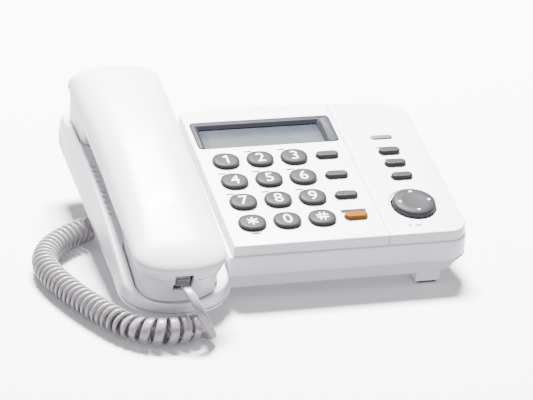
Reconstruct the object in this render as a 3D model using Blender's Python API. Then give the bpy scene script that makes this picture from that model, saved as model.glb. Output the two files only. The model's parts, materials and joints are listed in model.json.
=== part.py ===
"""Corded desk telephone with a deck of keys, a handset in its cradle and a curly cord.

Sizes are in millimetres and become metres where a mesh is made. Most pieces are drawn in the frame of the
deck, whose x runs across, y runs up the deck and z stands off it. An empty leans that frame to the user.
"""
import math

import bmesh
import bpy
import numpy as np
from mathutils import Matrix, Vector
from mathutils.kdtree import KDTree

MM = 0.001

# ---- the whole phone ----
TILT = math.radians(12.0)   # how far the deck leans toward the user
DECK_RISE = 32.4            # height of the deck's front edge above the table
GAP = 0.3                   # clearance between pieces that touch
WALL = 2.2                  # moulded walls

# ---- deck: the two face plates and the housing under them ----
DECK_WIDTH = 131.8
DECK_DEPTH = 128.0          # at the crest of the bowed back edge
DECK_BOW = 5.0              # how far the back edge falls away at DECK_BOW_REACH from its crest
DECK_BOW_CREST = 50.0
DECK_BOW_REACH = 80.0
SEAM = 86.4                 # where the two face plates meet
PLATE_HEIGHT = 6.0
PLATE_SKIN = 2.0
LEDGE = 1.5                 # rim of the housing that shows round the face plates
VALLEY = 2.6                # the same rim beside the cradle
CORNER_FRONT = 12.0
CORNER_BACK = 14.0
PART_LINE = -17.9           # where the top housing meets the bottom cover
DRAFT = 1.2                 # lean of the housing's walls, per side
BACK_SLOPE = 13.0           # how far the housing's back runs out on its way down
BACK_LEDGE = 6.0            # housing behind the face plates
TRAY_INSET = 3.6            # rim of the tray under the plates

# ---- cradle ----
CRADLE_X = -33.4
CRADLE_WIDTH = 57.2
CRADLE_FRONT = -28.4
CRADLE_NOSE = 21.0          # depth of its rounded front
CRADLE_BACK = 157.0
CRADLE_BACK_CORNER = 9.0
CREST_Y = 60.0              # its top surface is an arch with this crest
CREST_Z = -4.5
ARCH_RADIUS = 455.0
RIM_ROUND = 1.6
CRADLE_FLARE = 1.7          # how far its walls lean out on their way down
CRADLE_LIP = 2.0            # depth of the bottom cover's wall under the cradle's front
CRADLE_WEDGE = 0.083        # and how much deeper it gets per mm toward the back
WEDGE_START = 15.0
WELL_SKIN = 1.8             # walls of the ear and mouth wells

# ---- loudspeaker and its grille ----
GRILLE_INSET = 4.8          # from the cradle's left side to the middle of the first slots
GRILLE_Y = (43.0, 90.0)
GRILLE_COLUMNS = 3
GRILLE_ROWS = 10
GRILLE_STEP = 4.2
SLOT = (2.9, 1.3)
SLOT_LEAN = -1.5
SPEAKER_RADIUS = 19.5
SPEAKER_Y = 64.0
SPEAKER_DEPTH = 10.0

# ---- handset ----
HANDSET_X = -34.2
HANDSET_WIDTH = 50.0
HANDSET_FRONT = -30.5
HANDSET_BACK = 152.6
EAR_SPREAD = 1.2            # how much wider each side is at the ear end
HANDSET_NOSE = 18.5
HANDSET_HEEL = 14.0
HANDSET_TOP = 25.0          # crest of its back, above the deck
HANDSET_CREST_Y = 85.0
HANDSET_SAG = 0.0008        # fall of the crest line, per mm squared
HANDSET_MID = 8.5           # height of its widest line
HANDLE_UNDER = 1.6          # underside of the handle at its ends
HANDLE_ARCH = 2.2           # how much higher it is in the middle
HANDLE_TAPER = 0.91         # width of the underside against the widest line
HANDSET_SEAM = 4.0
HANDSET_WALL = 2.0
CUP_DEPTH = -14.3           # faces of the ear and mouth cups
CUP_CLEAR = 0.8             # gap round a cup in its well
EAR_FRONT = 108.0
EAR_HALF = 24.4
MOUTH_BACK = 23.0
MOUTH_HALF = 22.2
SOUND_HOLE = 0.9            # radius of the holes in the cups' faces
SOUND_RING = 6.0
RECEIVER = (13.5, 9.0, 5.0, 7.5)        # radius, rear radius, height of its rim, whole height
CAPSULE = (4.8, 5.0)                    # radius and height of the handset's microphone
BALLAST = (18.0, 54.0, 6.0)             # width, length, height
BALLAST_FRONT = 30.0

# ---- hook plunger and wall tab ----
PLUNGER_SIDE = 10.2         # from the handset's middle line
PLUNGER_AHEAD = 26.6        # from the handset's back end
PLUNGER_RADIUS = 4.0
PLUNGER_TRAVEL = 3.6
TAB = (11.0, 3.0, 7.0)      # width, thickness, height
TAB_AHEAD = 6.6             # from the ear cup's front

# ---- keys ----
KEY_X = SEAM * 0.169        # centre of key 1
KEY_Y = DECK_DEPTH * 0.596
PITCH_X = SEAM * 0.2257
PITCH_Y = DECK_DEPTH * 0.1492
DIAL_KEY = (14.8, 13.0)
DIAL_POWER = 2.3            # 2 would be an ellipse
PILL_X = KEY_X + 3 * PITCH_X - 0.4
PILL_KEY = (12.8, 5.2)
FUNCTION_MIDDLE = (SEAM + DECK_WIDTH) / 2
FUNCTION_X = FUNCTION_MIDDLE - 0.1
FUNCTION_Y = (DECK_DEPTH * 0.595, DECK_DEPTH * 0.504, DECK_DEPTH * 0.407)
FUNCTION_KEY = (12.0, 5.0)
KEY_PROUD = 2.1
KEY_TRAVEL = 1.3
FLANGE = 1.1
FLANGE_THICK = 1.0
NAV_X = FUNCTION_MIDDLE - 1.1
NAV_Y = DECK_DEPTH * 0.20625
NAV_RADIUS = 12.0
NAV_TRAY = 28.6             # width of the dished ring round the navigation key
NAV_PIVOT_Z = -3.4
PIVOT_RADIUS = 5.0
MIC_X = NAV_X - 8.0
MIC_Y = 8.0

# ---- display and lens ----
BEZEL = (2.9, DECK_DEPTH - 38.1, SEAM - 2.4, DECK_DEPTH - 12.9)     # x0, y0, x1, y1
SCREEN = (6.8, DECK_DEPTH - 36.8, SEAM - 10.0, DECK_DEPTH - 18.4)
BEZEL_DROP = 1.6
BEZEL_LIP = 1.4
WINDOW_RIM = 0.9
WINDOW_THICK = 1.0
LCD_THICK = 3.0
LENS = (FUNCTION_MIDDLE - 0.3, DECK_DEPTH - 37.7, 12.3, 3.6)    # x, y, width, depth

# ---- board and key mat ----
MAT_Z = -6.4
MAT_SKIN = 0.8
MAT_X = (5.0, DECK_WIDTH - 7.8)
MAT_Y = (7.0, BEZEL[1] - 4.9)
BOARD_X = (5.0, DECK_WIDTH - 7.8)
BOARD_Y = (5.0, DECK_DEPTH - 18.0)
BOARD_Z = MAT_Z - GAP
BOARD_THICK = 1.6

# ---- bottom cover, stand and feet ----
TUB_LEFT = -37.0
TUB_Z = -26.9               # underside of the front tub
TUB_TAPER = 6.0             # how far its right side leans in
TUB_FRONT_TAPER = 2.0
DEEP_Y = 66.0               # the deeper rear tub starts here
DEEP_Z = -38.6
DEEP_BACK = DECK_DEPTH + 21.0
DEEP_LEAN = 1.6
SHELL_STEP = 0.4            # how far the bottom cover stands back from the top housing
FOOT_WIDTH = 14.0
FOOT_DEPTH = 12.0
FOOT_Y = 5.0
FOOT_LEFT_X = -32.0
FOOT_RIGHT_X = DECK_WIDTH - 27.3
PAD = 1.0
PAD_SIZE = 10.0
STAND_INSET = 8.0
STAND_DEPTH = 30.0
STAND_FLANGE = 2.2
BOSS_RADIUS = 2.6
BOSSES = ((10.0, 12.0), (DECK_WIDTH - 13.8, 12.0), (DECK_WIDTH - 13.8, 60.0), (10.0, 60.0))

# ---- battery box ----
CELL_RADIUS = 7.1
CELL_LENGTH = 50.4
CELL_PITCH = 14.9
BOX_X = 25.0
BOX_Y = 88.2
BOX_SKIN = 1.3
COVER_THICK = 2.0
COVER_SLIDE = 7.5

# ---- jacks and plugs: x, y and z in the deck's frame ----
BASE_JACK = (TUB_LEFT + 1.0, 104.0, DEEP_Z + 6.2)
LINE_JACK = (98.0, DEEP_BACK - 1.4, DEEP_Z + 7.6)
HANDSET_JACK = (HANDSET_X - 0.8, HANDSET_FRONT + 5.0, 2.0)
CORD_SOCKET = (8.3, 7.2)
LINE_SOCKET = (9.6, 8.2)
JACK_WALLS = (4.4, 2.4)     # what a jack is wider and taller than its socket
PLUG = (7.7, 6.6)
PLUG_DEPTH = 8.5
COLLAR_STEP = (0.8, 1.4)

# ---- cord ----
CORD_WIDTH = 4.8
CORD_THICK = 2.1
COIL_WIDTH = 15.2
CURL_STEP = 4.1             # from curl to curl where they lie close
CURL_STEP_OPEN = 6.2        # and near the handset, where they are pulled apart
TILT_CLOSE = 66.0           # where they lie close, the flat cord stands on its edge by this angle
OPEN_REACH = 60.0
CURL_POINTS = 9
LEAD_CUT = 9.0              # height above the table where the handset's part of the cord begins
# The route lies in the table's frame: x and y as at the deck's front left corner, z up from the table.
COIL_AXIS = (
    (-56.1, 89.4), (-64.8, 84.3), (-73.0, 78.6), (-80.8, 71.2), (-87.2, 62.2), (-91.0, 52.0),
    (-91.9, 41.5), (-90.0, 29.5), (-86.0, 14.6), (-80.6, -0.6), (-74.0, -15.4), (-66.8, -29.4),
    (-58.8, -38.2), (-49.4, -42.0), (-40.4, -41.4), (-33.4, -39.3), (-27.4, -37.2),
)
LEAD = (
    (-21.8, -42.9, 1.9), (-23.2, -46.4, 5.2), (-26.0, -47.8, 11.4), (-29.4, -46.8, 18.2),
    (-32.6, -42.9, 24.6), (-34.6, -37.2, 28.2),
)
TAIL = (
    (-50.2, 108.3, 22.3), (-53.0, 105.8, 21.9), (-54.0, 100.0, 20.3), (-53.7, 93.0, 17.6),
    (-53.4, 87.6, 13.8),
)
CORD_PIECES = ("curly_cord", "handset_cord_lead", "handset_plug", "base_plug")

# ---- looks: colour, roughness, then metallic, alpha and transmission ----
WHITE = ((0.80, 0.79, 0.80), 0.42)
GREY = ((0.20, 0.20, 0.21), 0.5)
ORANGE = ((0.78, 0.30, 0.06), 0.45)
DARK = ((0.02, 0.02, 0.022), 0.5)
FRAME_GREY = ((0.30, 0.31, 0.34), 0.35)
LCD_GREEN = ((0.42, 0.48, 0.46), 0.3)
WINDOW = ((0.75, 0.8, 0.8), 0.08, 0.0, 0.3, 0.9)
LENS_GREY = ((0.55, 0.55, 0.54), 0.25)
LAMP = ((0.8, 0.2, 0.1), 0.3)
SILICONE = ((0.5, 0.5, 0.52), 0.8)
BOARD_GREEN = ((0.05, 0.18, 0.08), 0.5)
SLEEVE = ((0.16, 0.17, 0.2), 0.35)
STEEL = ((0.35, 0.35, 0.36), 0.4, 1.0)
CLEAR = ((0.7, 0.7, 0.68), 0.25)
JACKET = ((0.72, 0.70, 0.70), 0.5)


# ======================================================================= helpers
def clear_scene():
    for obj in list(bpy.data.objects):
        bpy.data.objects.remove(obj, do_unlink=True)


def material(name, colour, roughness, metallic=0.0, alpha=1.0, transmission=0.0):
    mat = bpy.data.materials.get(name) or bpy.data.materials.new(name)
    mat.use_nodes = True
    shader = mat.node_tree.nodes["Principled BSDF"]
    shader.inputs["Base Color"].default_value = (*colour, 1.0)
    shader.inputs["Roughness"].default_value = roughness
    shader.inputs["Metallic"].default_value = metallic
    shader.inputs["Alpha"].default_value = alpha
    shader.inputs["Transmission Weight"].default_value = transmission
    mat.diffuse_color = (*colour, 1.0)
    return mat


def new_object(name, mesh, look, parent, place=(0, 0, 0)):
    obj = bpy.data.objects.new(name, mesh)
    bpy.context.collection.objects.link(obj)
    obj.location = Vector(place) * MM
    obj.parent = parent
    if look is not None:
        obj.data.materials.append(material(name, *look))
    obj.data.shade_smooth()
    obj.data.set_sharp_from_angle(angle=math.radians(38))
    return obj


def loft(rings):
    """A closed mesh through rings of equally many points, with a flat cap at each end."""
    bm = bmesh.new()
    rows = [[bm.verts.new(Vector(p) * MM) for p in ring] for ring in rings]
    count = len(rows[0])
    for low, high in zip(rows, rows[1:]):
        for i in range(count):
            j = (i + 1) % count
            bm.faces.new((low[i], low[j], high[j], high[i]))
    bm.faces.new(rows[0][::-1])
    bm.faces.new(rows[-1])
    bmesh.ops.recalc_face_normals(bm, faces=bm.faces)
    mesh = bpy.data.meshes.new("loft")
    bm.to_mesh(mesh)
    bm.free()
    return mesh


def joined(meshes):
    """Several closed meshes in one, for a cutter with many bodies."""
    bm = bmesh.new()
    for mesh in meshes:
        bm.from_mesh(mesh)
        bpy.data.meshes.remove(mesh)
    mesh = bpy.data.meshes.new("joined")
    bm.to_mesh(mesh)
    bm.free()
    return mesh


def box(x0, x1, y0, y1, z0, z1):
    corners = ((x0, y0), (x1, y0), (x1, y1), (x0, y1))
    return loft([[(x, y, z) for x, y in corners] for z in (z0, z1)])


def arc(cx, cy, radius, start, end, steps):
    angles = [math.radians(start + (end - start) * i / steps) for i in range(steps + 1)]
    return [(cx + radius * math.cos(a), cy + radius * math.sin(a)) for a in angles]


def rounded(x0, x1, y0, y1, radii, steps=4):
    """Outline of a rectangle; radii for its front left, front right, back right and back left corners."""
    if isinstance(radii, (int, float)):
        radii = (radii,) * 4
    a, b, c, d = radii
    return (
        arc(x0 + a, y0 + a, a, 180, 270, steps)
        + arc(x1 - b, y0 + b, b, 270, 360, steps)
        + arc(x1 - c, y1 - c, c, 0, 90, steps)
        + arc(x0 + d, y1 - d, d, 90, 180, steps)
    )


def oval(width, depth, power=2.0, steps=16, x=0.0, y=0.0):
    points = []
    for i in range(steps):
        a = 2 * math.pi * (i + 0.5) / steps
        c, s = math.cos(a), math.sin(a)
        points.append((
            x + width / 2 * math.copysign(abs(c) ** (2 / power), c),
            y + depth / 2 * math.copysign(abs(s) ** (2 / power), s),
        ))
    return points


def pill(width, depth, steps=4, x=0.0, y=0.0):
    r = depth / 2
    right = arc(x + width / 2 - r, y, r, -90, 90, steps * 2)
    left = arc(x + r - width / 2, y, r, 90, 270, steps * 2)
    return right + left


def raise_to(outline, z):
    return [(x, y, z) for x, y in outline]


def turned(profile, steps=24, x=0.0, y=0.0):
    """A round piece about the z axis through (x, y); profile is radius, height pairs from bottom to top."""
    angles = [2 * math.pi * i / steps for i in range(steps)]
    return loft([[(x + r * math.cos(a), y + r * math.sin(a), z) for a in angles] for r, z in profile])


def boolean(obj, operation, mesh, name, place=(0, 0, 0)):
    """Joins a mesh to obj, or cuts it from obj, in the deck's frame."""
    tool = bpy.data.objects.new("tool_" + name, mesh)
    bpy.context.collection.objects.link(tool)
    tool.parent = deck_frame
    tool.location = Vector(place) * MM
    tool.hide_render = True
    tool.display_type = "WIRE"
    modifier = obj.modifiers.new(name, "BOOLEAN")
    modifier.operation = operation
    modifier.solver = "EXACT"
    modifier.object = tool
    return modifier


def cut(obj, mesh, name):
    return boolean(obj, "DIFFERENCE", mesh, name)


def join(obj, mesh, name):
    return boolean(obj, "UNION", mesh, name)


def deck_to_world(x, y, z):
    c, s = math.cos(TILT), math.sin(TILT)
    return Vector((x, y * c - z * s, y * s + z * c + DECK_RISE))


def world_to_deck(x, y, z):
    z -= DECK_RISE
    return Vector((x, y * math.cos(TILT) + z * math.sin(TILT), z * math.cos(TILT) - y * math.sin(TILT)))


def floor_box(x0, x1, y0, y1, height, deck_top):
    """A block that stands level above the table and ends on a plane of the deck's frame."""
    low = [world_to_deck(x, y, height) for x, y in ((x0, y0), (x1, y0), (x1, y1), (x0, y1))]
    return loft([low, [(p.x, p.y, deck_top) for p in low]])


# ======================================================================= deck
def deck_back(x):
    return DECK_DEPTH - DECK_BOW * ((x - DECK_BOW_CREST) / DECK_BOW_REACH) ** 2


def deck_outline(x0, x1, grow, front_radii, back_radii, back_grow=None, back_steps=6):
    """Outline of a face plate or of the housing round it, with the bowed back edge."""
    back_grow = grow if back_grow is None else back_grow
    y0 = -grow
    (fl, fr), (bl, br) = front_radii, back_radii
    points = arc(x0 + fl, y0 + fl, fl, 180, 270, 4) + arc(x1 - fr, y0 + fr, fr, 270, 360, 4)
    y_right = deck_back(x1) + back_grow
    y_left = deck_back(x0) + back_grow
    points += arc(x1 - br, y_right - br, br, 0, 90, 4)
    inner0, inner1 = x0 + bl, x1 - br
    for i in range(1, back_steps):
        x = inner1 + (inner0 - inner1) * i / back_steps
        lift = y_right + (y_left - y_right) * i / back_steps
        points.append((x, max(deck_back(x) + back_grow, lift)))
    points += arc(x0 + bl, y_left - bl, bl, 90, 180, 4)
    return points


def housing_outline(z, inset=0.0):
    """The deck part of the top housing at height z."""
    down = (-PLATE_HEIGHT - GAP - z) / (-PLATE_HEIGHT - GAP - PART_LINE)
    grow = LEDGE + DRAFT * down - inset
    back = BACK_LEDGE + BACK_SLOPE * down - inset
    return deck_outline(
        -VALLEY + inset, DECK_WIDTH + grow, grow,
        (1.0, CORNER_FRONT + 3.0 * down - inset), (1.0, CORNER_BACK - inset), back
    )


def crown(y):
    """Height of the cradle's arched top."""
    return CREST_Z - (y - CREST_Y) ** 2 / (2 * ARCH_RADIUS)


def cradle_half(y, inset=0.0):
    """Half of the cradle's width at y: an elliptic front, rounded corners at the back."""
    half = CRADLE_WIDTH / 2 - inset
    nose_y = CRADLE_FRONT + CRADLE_NOSE
    if y < nose_y:
        t = min(1.0, (nose_y - y) / (CRADLE_NOSE - inset))
        return half * math.sqrt(max(0.0, 1 - t ** 2.15))
    heel = CRADLE_BACK - inset - CRADLE_BACK_CORNER
    if y > heel:
        d = min(CRADLE_BACK_CORNER, y - heel)
        return half - CRADLE_BACK_CORNER + math.sqrt(CRADLE_BACK_CORNER ** 2 - d ** 2)
    return half


def cradle_front_share(y):
    """From 0 behind the rounded front to 1 at its tip."""
    return max(0.0, (CRADLE_FRONT + CRADLE_NOSE - y) / CRADLE_NOSE) ** 2


def cradle_stations(inset=0.0):
    front, back = CRADLE_FRONT + inset, CRADLE_BACK - inset
    nose, heel = CRADLE_FRONT + CRADLE_NOSE, back - CRADLE_BACK_CORNER
    depth = nose - front
    stations = [nose - depth * math.cos(math.radians(a)) for a in (9, 22, 35, 48, 62, 76)]
    stations += [nose + (heel - nose) * i / 8 for i in range(9)]
    stations += [heel + CRADLE_BACK_CORNER * math.sin(math.radians(a)) for a in (30, 60, 88)]
    return stations


def cradle_body(inset=0.0, bottom=PART_LINE):
    """The boat-shaped body of the cradle, lofted from front to back."""
    rings = []
    for y in cradle_stations(inset):
        half, top = cradle_half(y, inset), crown(y) - inset
        flare = CRADLE_FLARE * (top - bottom) / (CREST_Z - PART_LINE)
        r = min(RIM_ROUND, half * 0.4)
        low_y = y - flare * cradle_front_share(y)
        right = [(half + flare, low_y, bottom), (half, y, top - r),
                 (half - 0.3 * r, y, top - 0.3 * r), (half - r, y, top)]
        left = [(-x, py, z) for x, py, z in right[::-1]]
        rings.append([(CRADLE_X + x, py, z) for x, py, z in right + left])
    return loft(rings)


# ======================================================================= handset forms
def handset_half(y, inset=0.0):
    half = HANDSET_WIDTH / 2 - inset + EAR_SPREAD * min(1.0, max(0.0, (y - 60.0) / 60.0))
    nose_y = HANDSET_FRONT + HANDSET_NOSE
    if y < nose_y:
        t = min(1.0, (nose_y - y) / (HANDSET_NOSE - inset))
        return half * max(0.0, 1 - t ** 2.5) ** (1 / 2.5)
    corner = HANDSET_HEEL / 2
    heel = HANDSET_BACK - inset - corner
    if y > heel:
        return half - corner + math.sqrt(max(0.0, corner ** 2 - (y - heel) ** 2))
    return half


def handset_top(y, inset=0.0):
    crest = HANDSET_TOP - HANDSET_SAG * (y - HANDSET_CREST_Y) ** 2 - inset
    nose_y, heel_y = HANDSET_FRONT + HANDSET_NOSE, HANDSET_BACK - HANDSET_HEEL
    t = max(0.0, (nose_y - y) / (HANDSET_NOSE - inset), (y - heel_y) / (HANDSET_HEEL - inset))
    return HANDSET_MID + (crest - HANDSET_MID) * max(0.0, 1 - min(1.0, t) ** 2.3) ** (1 / 2.3)


def handle_under(y):
    middle, reach = (EAR_FRONT + MOUTH_BACK) / 2, (EAR_FRONT - MOUTH_BACK) / 2
    return HANDLE_UNDER + HANDLE_ARCH * max(0.0, 1 - ((y - middle) / reach) ** 2)


def handset_bar(inset=0.0, steps=12, angles=(20, 38, 54, 68, 81), middle=9):
    """The long bar of the handset: a crowned back on a handle with leaning sides."""
    front, back = HANDSET_FRONT + inset, HANDSET_BACK - inset
    nose, heel = HANDSET_FRONT + HANDSET_NOSE, back - HANDSET_HEEL
    stations = [nose - (nose - front) * math.sin(math.radians(a)) for a in angles[::-1]]
    stations += [nose + (heel - nose) * i / middle for i in range(middle + 1)]
    stations += [heel + HANDSET_HEEL * math.sin(math.radians(a)) for a in angles]
    rings = []
    for y in stations:
        half, top, under = handset_half(y, inset), handset_top(y, inset), handle_under(y) + inset
        low = half * HANDLE_TAPER
        r = min(2.5, low * 0.4)
        ring = [(low - r, under), (low - 0.3 * r, under + 0.3 * r), (low, under + r)]
        for i in range(steps + 1):
            a = math.pi * i / steps
            c, s = math.cos(a), math.sin(a)
            ring.append((
                half * math.copysign(abs(c) ** (2 / 2.5), c),
                HANDSET_MID + (top - HANDSET_MID) * s ** (2 / 2.5),
            ))
        ring += [(-x, z) for x, z in ring[2::-1]]
        rings.append([(HANDSET_X + x, y, z) for x, z in ring])
    return loft(rings)


def cup(kind, grow=0.0, bottom=CUP_DEPTH, top=HANDSET_MID, bottom_round=1.6):
    """The ear or mouth cup, or its well with grow: a drafted plan form down to the cup's face."""
    low = bottom + bottom_round
    levels = [(HANDSET_SEAM, 0.1, 0.0), (CUP_DEPTH * 0.52, 1.1, 0.0)]
    levels += [(low, 1.6, 0.0), (bottom, 1.6, bottom_round)]
    levels = [(top, 0.0, 0.0)] + [level for level in levels if level[0] < top - 0.5]
    rings = []
    for z, lean, inset in levels:
        outline = ear_outline(grow, lean, inset)
        if kind == "mouth":
            flare = 1.4 if z == top else 0.6 if z == HANDSET_SEAM else 0.0
            outline = mouth_outline(grow, lean, inset, flare)
        rings.append([(HANDSET_X + x, y, z) for x, y in outline])
    return loft(rings)


def ear_outline(grow, lean, inset):
    """The ear cup at one level; lean says how far its draft has come down to there."""
    half = EAR_HALF + grow - lean * 0.35 - inset
    front = EAR_FRONT - grow + lean * 1.2 + inset
    back = HANDSET_BACK - 0.4 + grow - lean * 0.35 - inset
    return rounded(-half, half, front, back, (8.0, 8.0, 6.6, 6.6), 4)


def mouth_outline(grow, lean, inset, flare):
    """The mouth cup at one level, with a rounded front that leans in more than its sides."""
    half = MOUTH_HALF + grow + flare - lean * 0.6 - inset
    front = HANDSET_FRONT + 0.6 - grow + lean * (2.0 if grow > 0 else 3.2) + inset
    back = MOUTH_BACK + grow - lean - inset
    nose = HANDSET_FRONT + HANDSET_NOSE + 1.0
    outline = []
    for i in range(13):
        a = math.pi * (1 + i / 12)
        c, s = math.cos(a), math.sin(a)
        x = half * math.copysign(abs(c) ** 0.88, c)
        outline.append((x, nose - (nose - front) * abs(s) ** 0.88))
    corner = 7.0
    outline += arc(half - corner, back - corner, corner, 0, 90, 4)
    outline += arc(corner - half, back - corner, corner, 90, 180, 4)
    return outline


# ======================================================================= base pieces
def make_top_housing():
    housing = new_object("base_top_housing", cradle_body(), WHITE, deck_frame)
    ledge = -PLATE_HEIGHT - GAP
    join(housing, loft([raise_to(housing_outline(z), z) for z in (PART_LINE, ledge - 0.5, ledge)]), "deck")
    cradle_right = CRADLE_X + CRADLE_WIDTH / 2
    web_top = min(crown(2.0), crown(deck_back(0.0))) - 0.6
    join(housing, box(cradle_right - 6, 6, 2, deck_back(0), PART_LINE, web_top), "web")

    below = PART_LINE - 2
    floor = CUP_DEPTH - GAP
    hollow = cut(housing, cradle_body(WALL, below), "cradle_cavity").object
    for kind in ("ear", "mouth"):
        wall = cup(kind, CUP_CLEAR + WELL_SKIN, floor - WELL_SKIN, HANDSET_MID, 1.0)
        cut(hollow, wall, kind + "_well_wall")
    cavity = [raise_to(housing_outline(z, WALL), z) for z in (PART_LINE, ledge - WALL)]
    cavity.insert(0, raise_to(housing_outline(PART_LINE, WALL), below))
    cut(housing, loft(cavity), "deck_cavity")
    cut(housing, box(cradle_right - 8, 8, 6, deck_back(0) - 4, below, web_top - WALL), "passage")

    for kind in ("ear", "mouth"):
        cut(housing, cup(kind, CUP_CLEAR, floor, HANDSET_MID, 1.6), kind + "_well")
    t = TRAY_INSET
    cut(housing, box(t, DECK_WIDTH - t, t, DECK_DEPTH - DECK_BOW - t, ledge - WALL - 6, 0), "tray")
    cut(housing, joined(grille_slots()), "grille")
    hole = PLUNGER_RADIUS + GAP
    bore = [(hole, floor - WELL_SKIN - 5), (hole, floor + 5)]
    cut(housing, turned(bore, 16, *plunger_place()), "hook_hole")
    cut(housing, box(*tab_slot(), CREST_Z - 12, CREST_Z + 5), "tab_slot")


def grille_slots():
    """Short slanted slots over the loudspeaker, in the cradle's floor beside and under the handle."""
    slots = []
    for column in range(GRILLE_COLUMNS):
        for row in range(GRILLE_ROWS):
            x = CRADLE_X - CRADLE_WIDTH / 2 + GRILLE_INSET + column * GRILLE_STEP
            share_up = (row + 0.5 * (column % 2)) / (GRILLE_ROWS - 0.5)
            y = GRILLE_Y[0] + (GRILLE_Y[1] - GRILLE_Y[0]) * share_up
            w, d, lean = SLOT[0] / 2, SLOT[1] / 2, SLOT_LEAN / 2
            ring = [(x - w, y - d - lean), (x + w, y - d + lean),
                    (x + w, y + d + lean), (x - w, y + d - lean)]
            slots.append(loft([raise_to(ring, CREST_Z - 7.5), raise_to(ring, CREST_Z + 4.5)]))
    return slots


def plunger_place():
    return HANDSET_X + PLUNGER_SIDE, HANDSET_BACK - PLUNGER_AHEAD


def tab_slot():
    y = EAR_FRONT - TAB_AHEAD
    w, d = TAB[0] / 2 + GAP, TAB[1] / 2 + GAP
    return HANDSET_X - w, HANDSET_X + w, y - d, y + d


def plate(name, x0, x1, front_radii, back_radii):
    """A face plate: a shallow lid with a softened upper edge, open below."""
    levels = ((-PLATE_HEIGHT, 0.45), (-1.1, 0.15), (-0.35, -0.15), (0.0, -0.9))
    rings = []
    for z, grow in levels:
        left = x0 - grow if front_radii[0] > 0.5 or x0 == 0 else x0
        right = x1 + grow if front_radii[1] > 1.0 else x1
        rings.append(raise_to(deck_outline(left, right, grow, front_radii, back_radii), z))
    obj = new_object(name, loft(rings), WHITE, deck_frame)
    mat = (MAT_X[0] - GAP, MAT_X[1] + GAP, MAT_Y[0] - GAP, MAT_Y[1] + GAP)
    cut(obj, box(*mat, MAT_Z - 1, MAT_Z + MAT_SKIN + GAP), "mat_clearance")
    t = PLATE_SKIN
    radii = [[max(0.6, r - t) for r in pair] for pair in (front_radii, back_radii)]
    inner = deck_outline(x0 + t, x1 - t, -t, *radii)
    cut(obj, loft([raise_to(inner, -PLATE_HEIGHT - 1), raise_to(inner, -PLATE_SKIN)]), "hollow")
    return obj


def dial_places():
    names = ("1", "2", "3", "4", "5", "6", "7", "8", "9", "star", "0", "hash")
    places = [(KEY_X + PITCH_X * (i % 3), KEY_Y - PITCH_Y * (i // 3)) for i in range(12)]
    return [("dial_key_" + name, x, y) for name, (x, y) in zip(names, places)]


def pill_places():
    names = ("pill_key_upper", "pill_key_middle", "pill_key_lower", "speaker_key")
    return [(n, PILL_X, KEY_Y - PITCH_Y * i) for i, n in enumerate(names)]


def function_places():
    return [("function_key_" + n, FUNCTION_X, y) for n, y in zip(("upper", "middle", "lower"), FUNCTION_Y)]


def key_hole(outline):
    """A cutter through a face plate."""
    return loft([raise_to(outline, -PLATE_SKIN - 2), raise_to(outline, 1)])


def dial_outline(w, d, x=0.0, y=0.0):
    return oval(w, d, DIAL_POWER, 16, x, y)


def short_outline(w, d, x=0.0, y=0.0):
    return pill(w, d, 3, x, y)


def round_hole(radius, x, y, steps):
    return turned([(radius, -PLATE_SKIN - 2), (radius, 1)], steps, x, y)


def make_plates():
    g = 2 * GAP
    keypad = plate("keypad_panel", 0, SEAM - GAP / 2, (1.2, 0.3), (2.0, 0.3))
    holes = [key_hole(dial_outline(DIAL_KEY[0] + g, DIAL_KEY[1] + g, x, y)) for _, x, y in dial_places()]
    holes += [key_hole(short_outline(PILL_KEY[0] + g, PILL_KEY[1] + g, x, y)) for _, x, y in pill_places()]
    cut(keypad, joined(holes), "key_holes")
    x0, y0, x1, y1 = BEZEL
    seat = rounded(x0 - GAP, x1 + GAP, y0 - GAP, y1 + GAP, 2.6, 3)
    cut(keypad, loft([raise_to(seat, -BEZEL_DROP), raise_to(seat, 1)]), "bezel_seat")
    lip = BEZEL_LIP
    cut(keypad, box(x0 + lip, x1 - lip, y0 + lip, y1 - lip, -PLATE_SKIN - 2, 0), "display_hole")
    x0, x1, y0, y1 = window_box()
    cut(keypad, box(x0 - GAP, x1 + GAP, y0 - GAP, y1 + GAP, -PLATE_SKIN - 2, 0), "window_hole")

    radii = (0.3, CORNER_FRONT - LEDGE), (0.3, CORNER_BACK - LEDGE)
    function = plate("function_panel", SEAM + GAP / 2, DECK_WIDTH, *radii)
    w, d = FUNCTION_KEY[0] + g, FUNCTION_KEY[1] + g
    holes = [key_hole(short_outline(w, d, x, y)) for _, x, y in function_places()]
    x, y, w, d = LENS
    holes.append(key_hole(short_outline(w + g, d + g, x, y)))
    holes.append(round_hole(0.8, MIC_X, MIC_Y, 8))
    cut(function, joined(holes), "key_holes")
    dish = [(NAV_TRAY / 2 - 0.8, -0.8), (NAV_TRAY / 2 + 0.3, 0.4)]
    cut(function, turned(dish, 32, NAV_X, NAV_Y), "nav_tray")
    cut(function, round_hole(NAV_RADIUS + 0.7, NAV_X, NAV_Y, 32), "nav_hole")


def make_key(name, x, y, size, outline, look):
    """A key cap: a flange under the plate, straight sides and a gently domed top."""
    w, d = size
    under = -PLATE_SKIN - GAP
    levels = [(under - FLANGE_THICK, FLANGE), (under, FLANGE), (under, 0.0), (KEY_PROUD * 0.75, 0.0),
              (KEY_PROUD * 0.9, -0.35), (KEY_PROUD, -min(w, d) * 0.16)]
    rings = [raise_to(outline(w + 2 * g, d + 2 * g), z) for z, g in levels]
    new_object(name, loft(rings), look, deck_frame, (x, y, 0))


def make_keys():
    for name, x, y in dial_places():
        make_key(name, x, y, DIAL_KEY, dial_outline, GREY)
    for name, x, y in pill_places():
        make_key(name, x, y, PILL_KEY, short_outline, ORANGE if name == "speaker_key" else GREY)
    for name, x, y in function_places():
        make_key(name, x, y, FUNCTION_KEY, short_outline, GREY)


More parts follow.
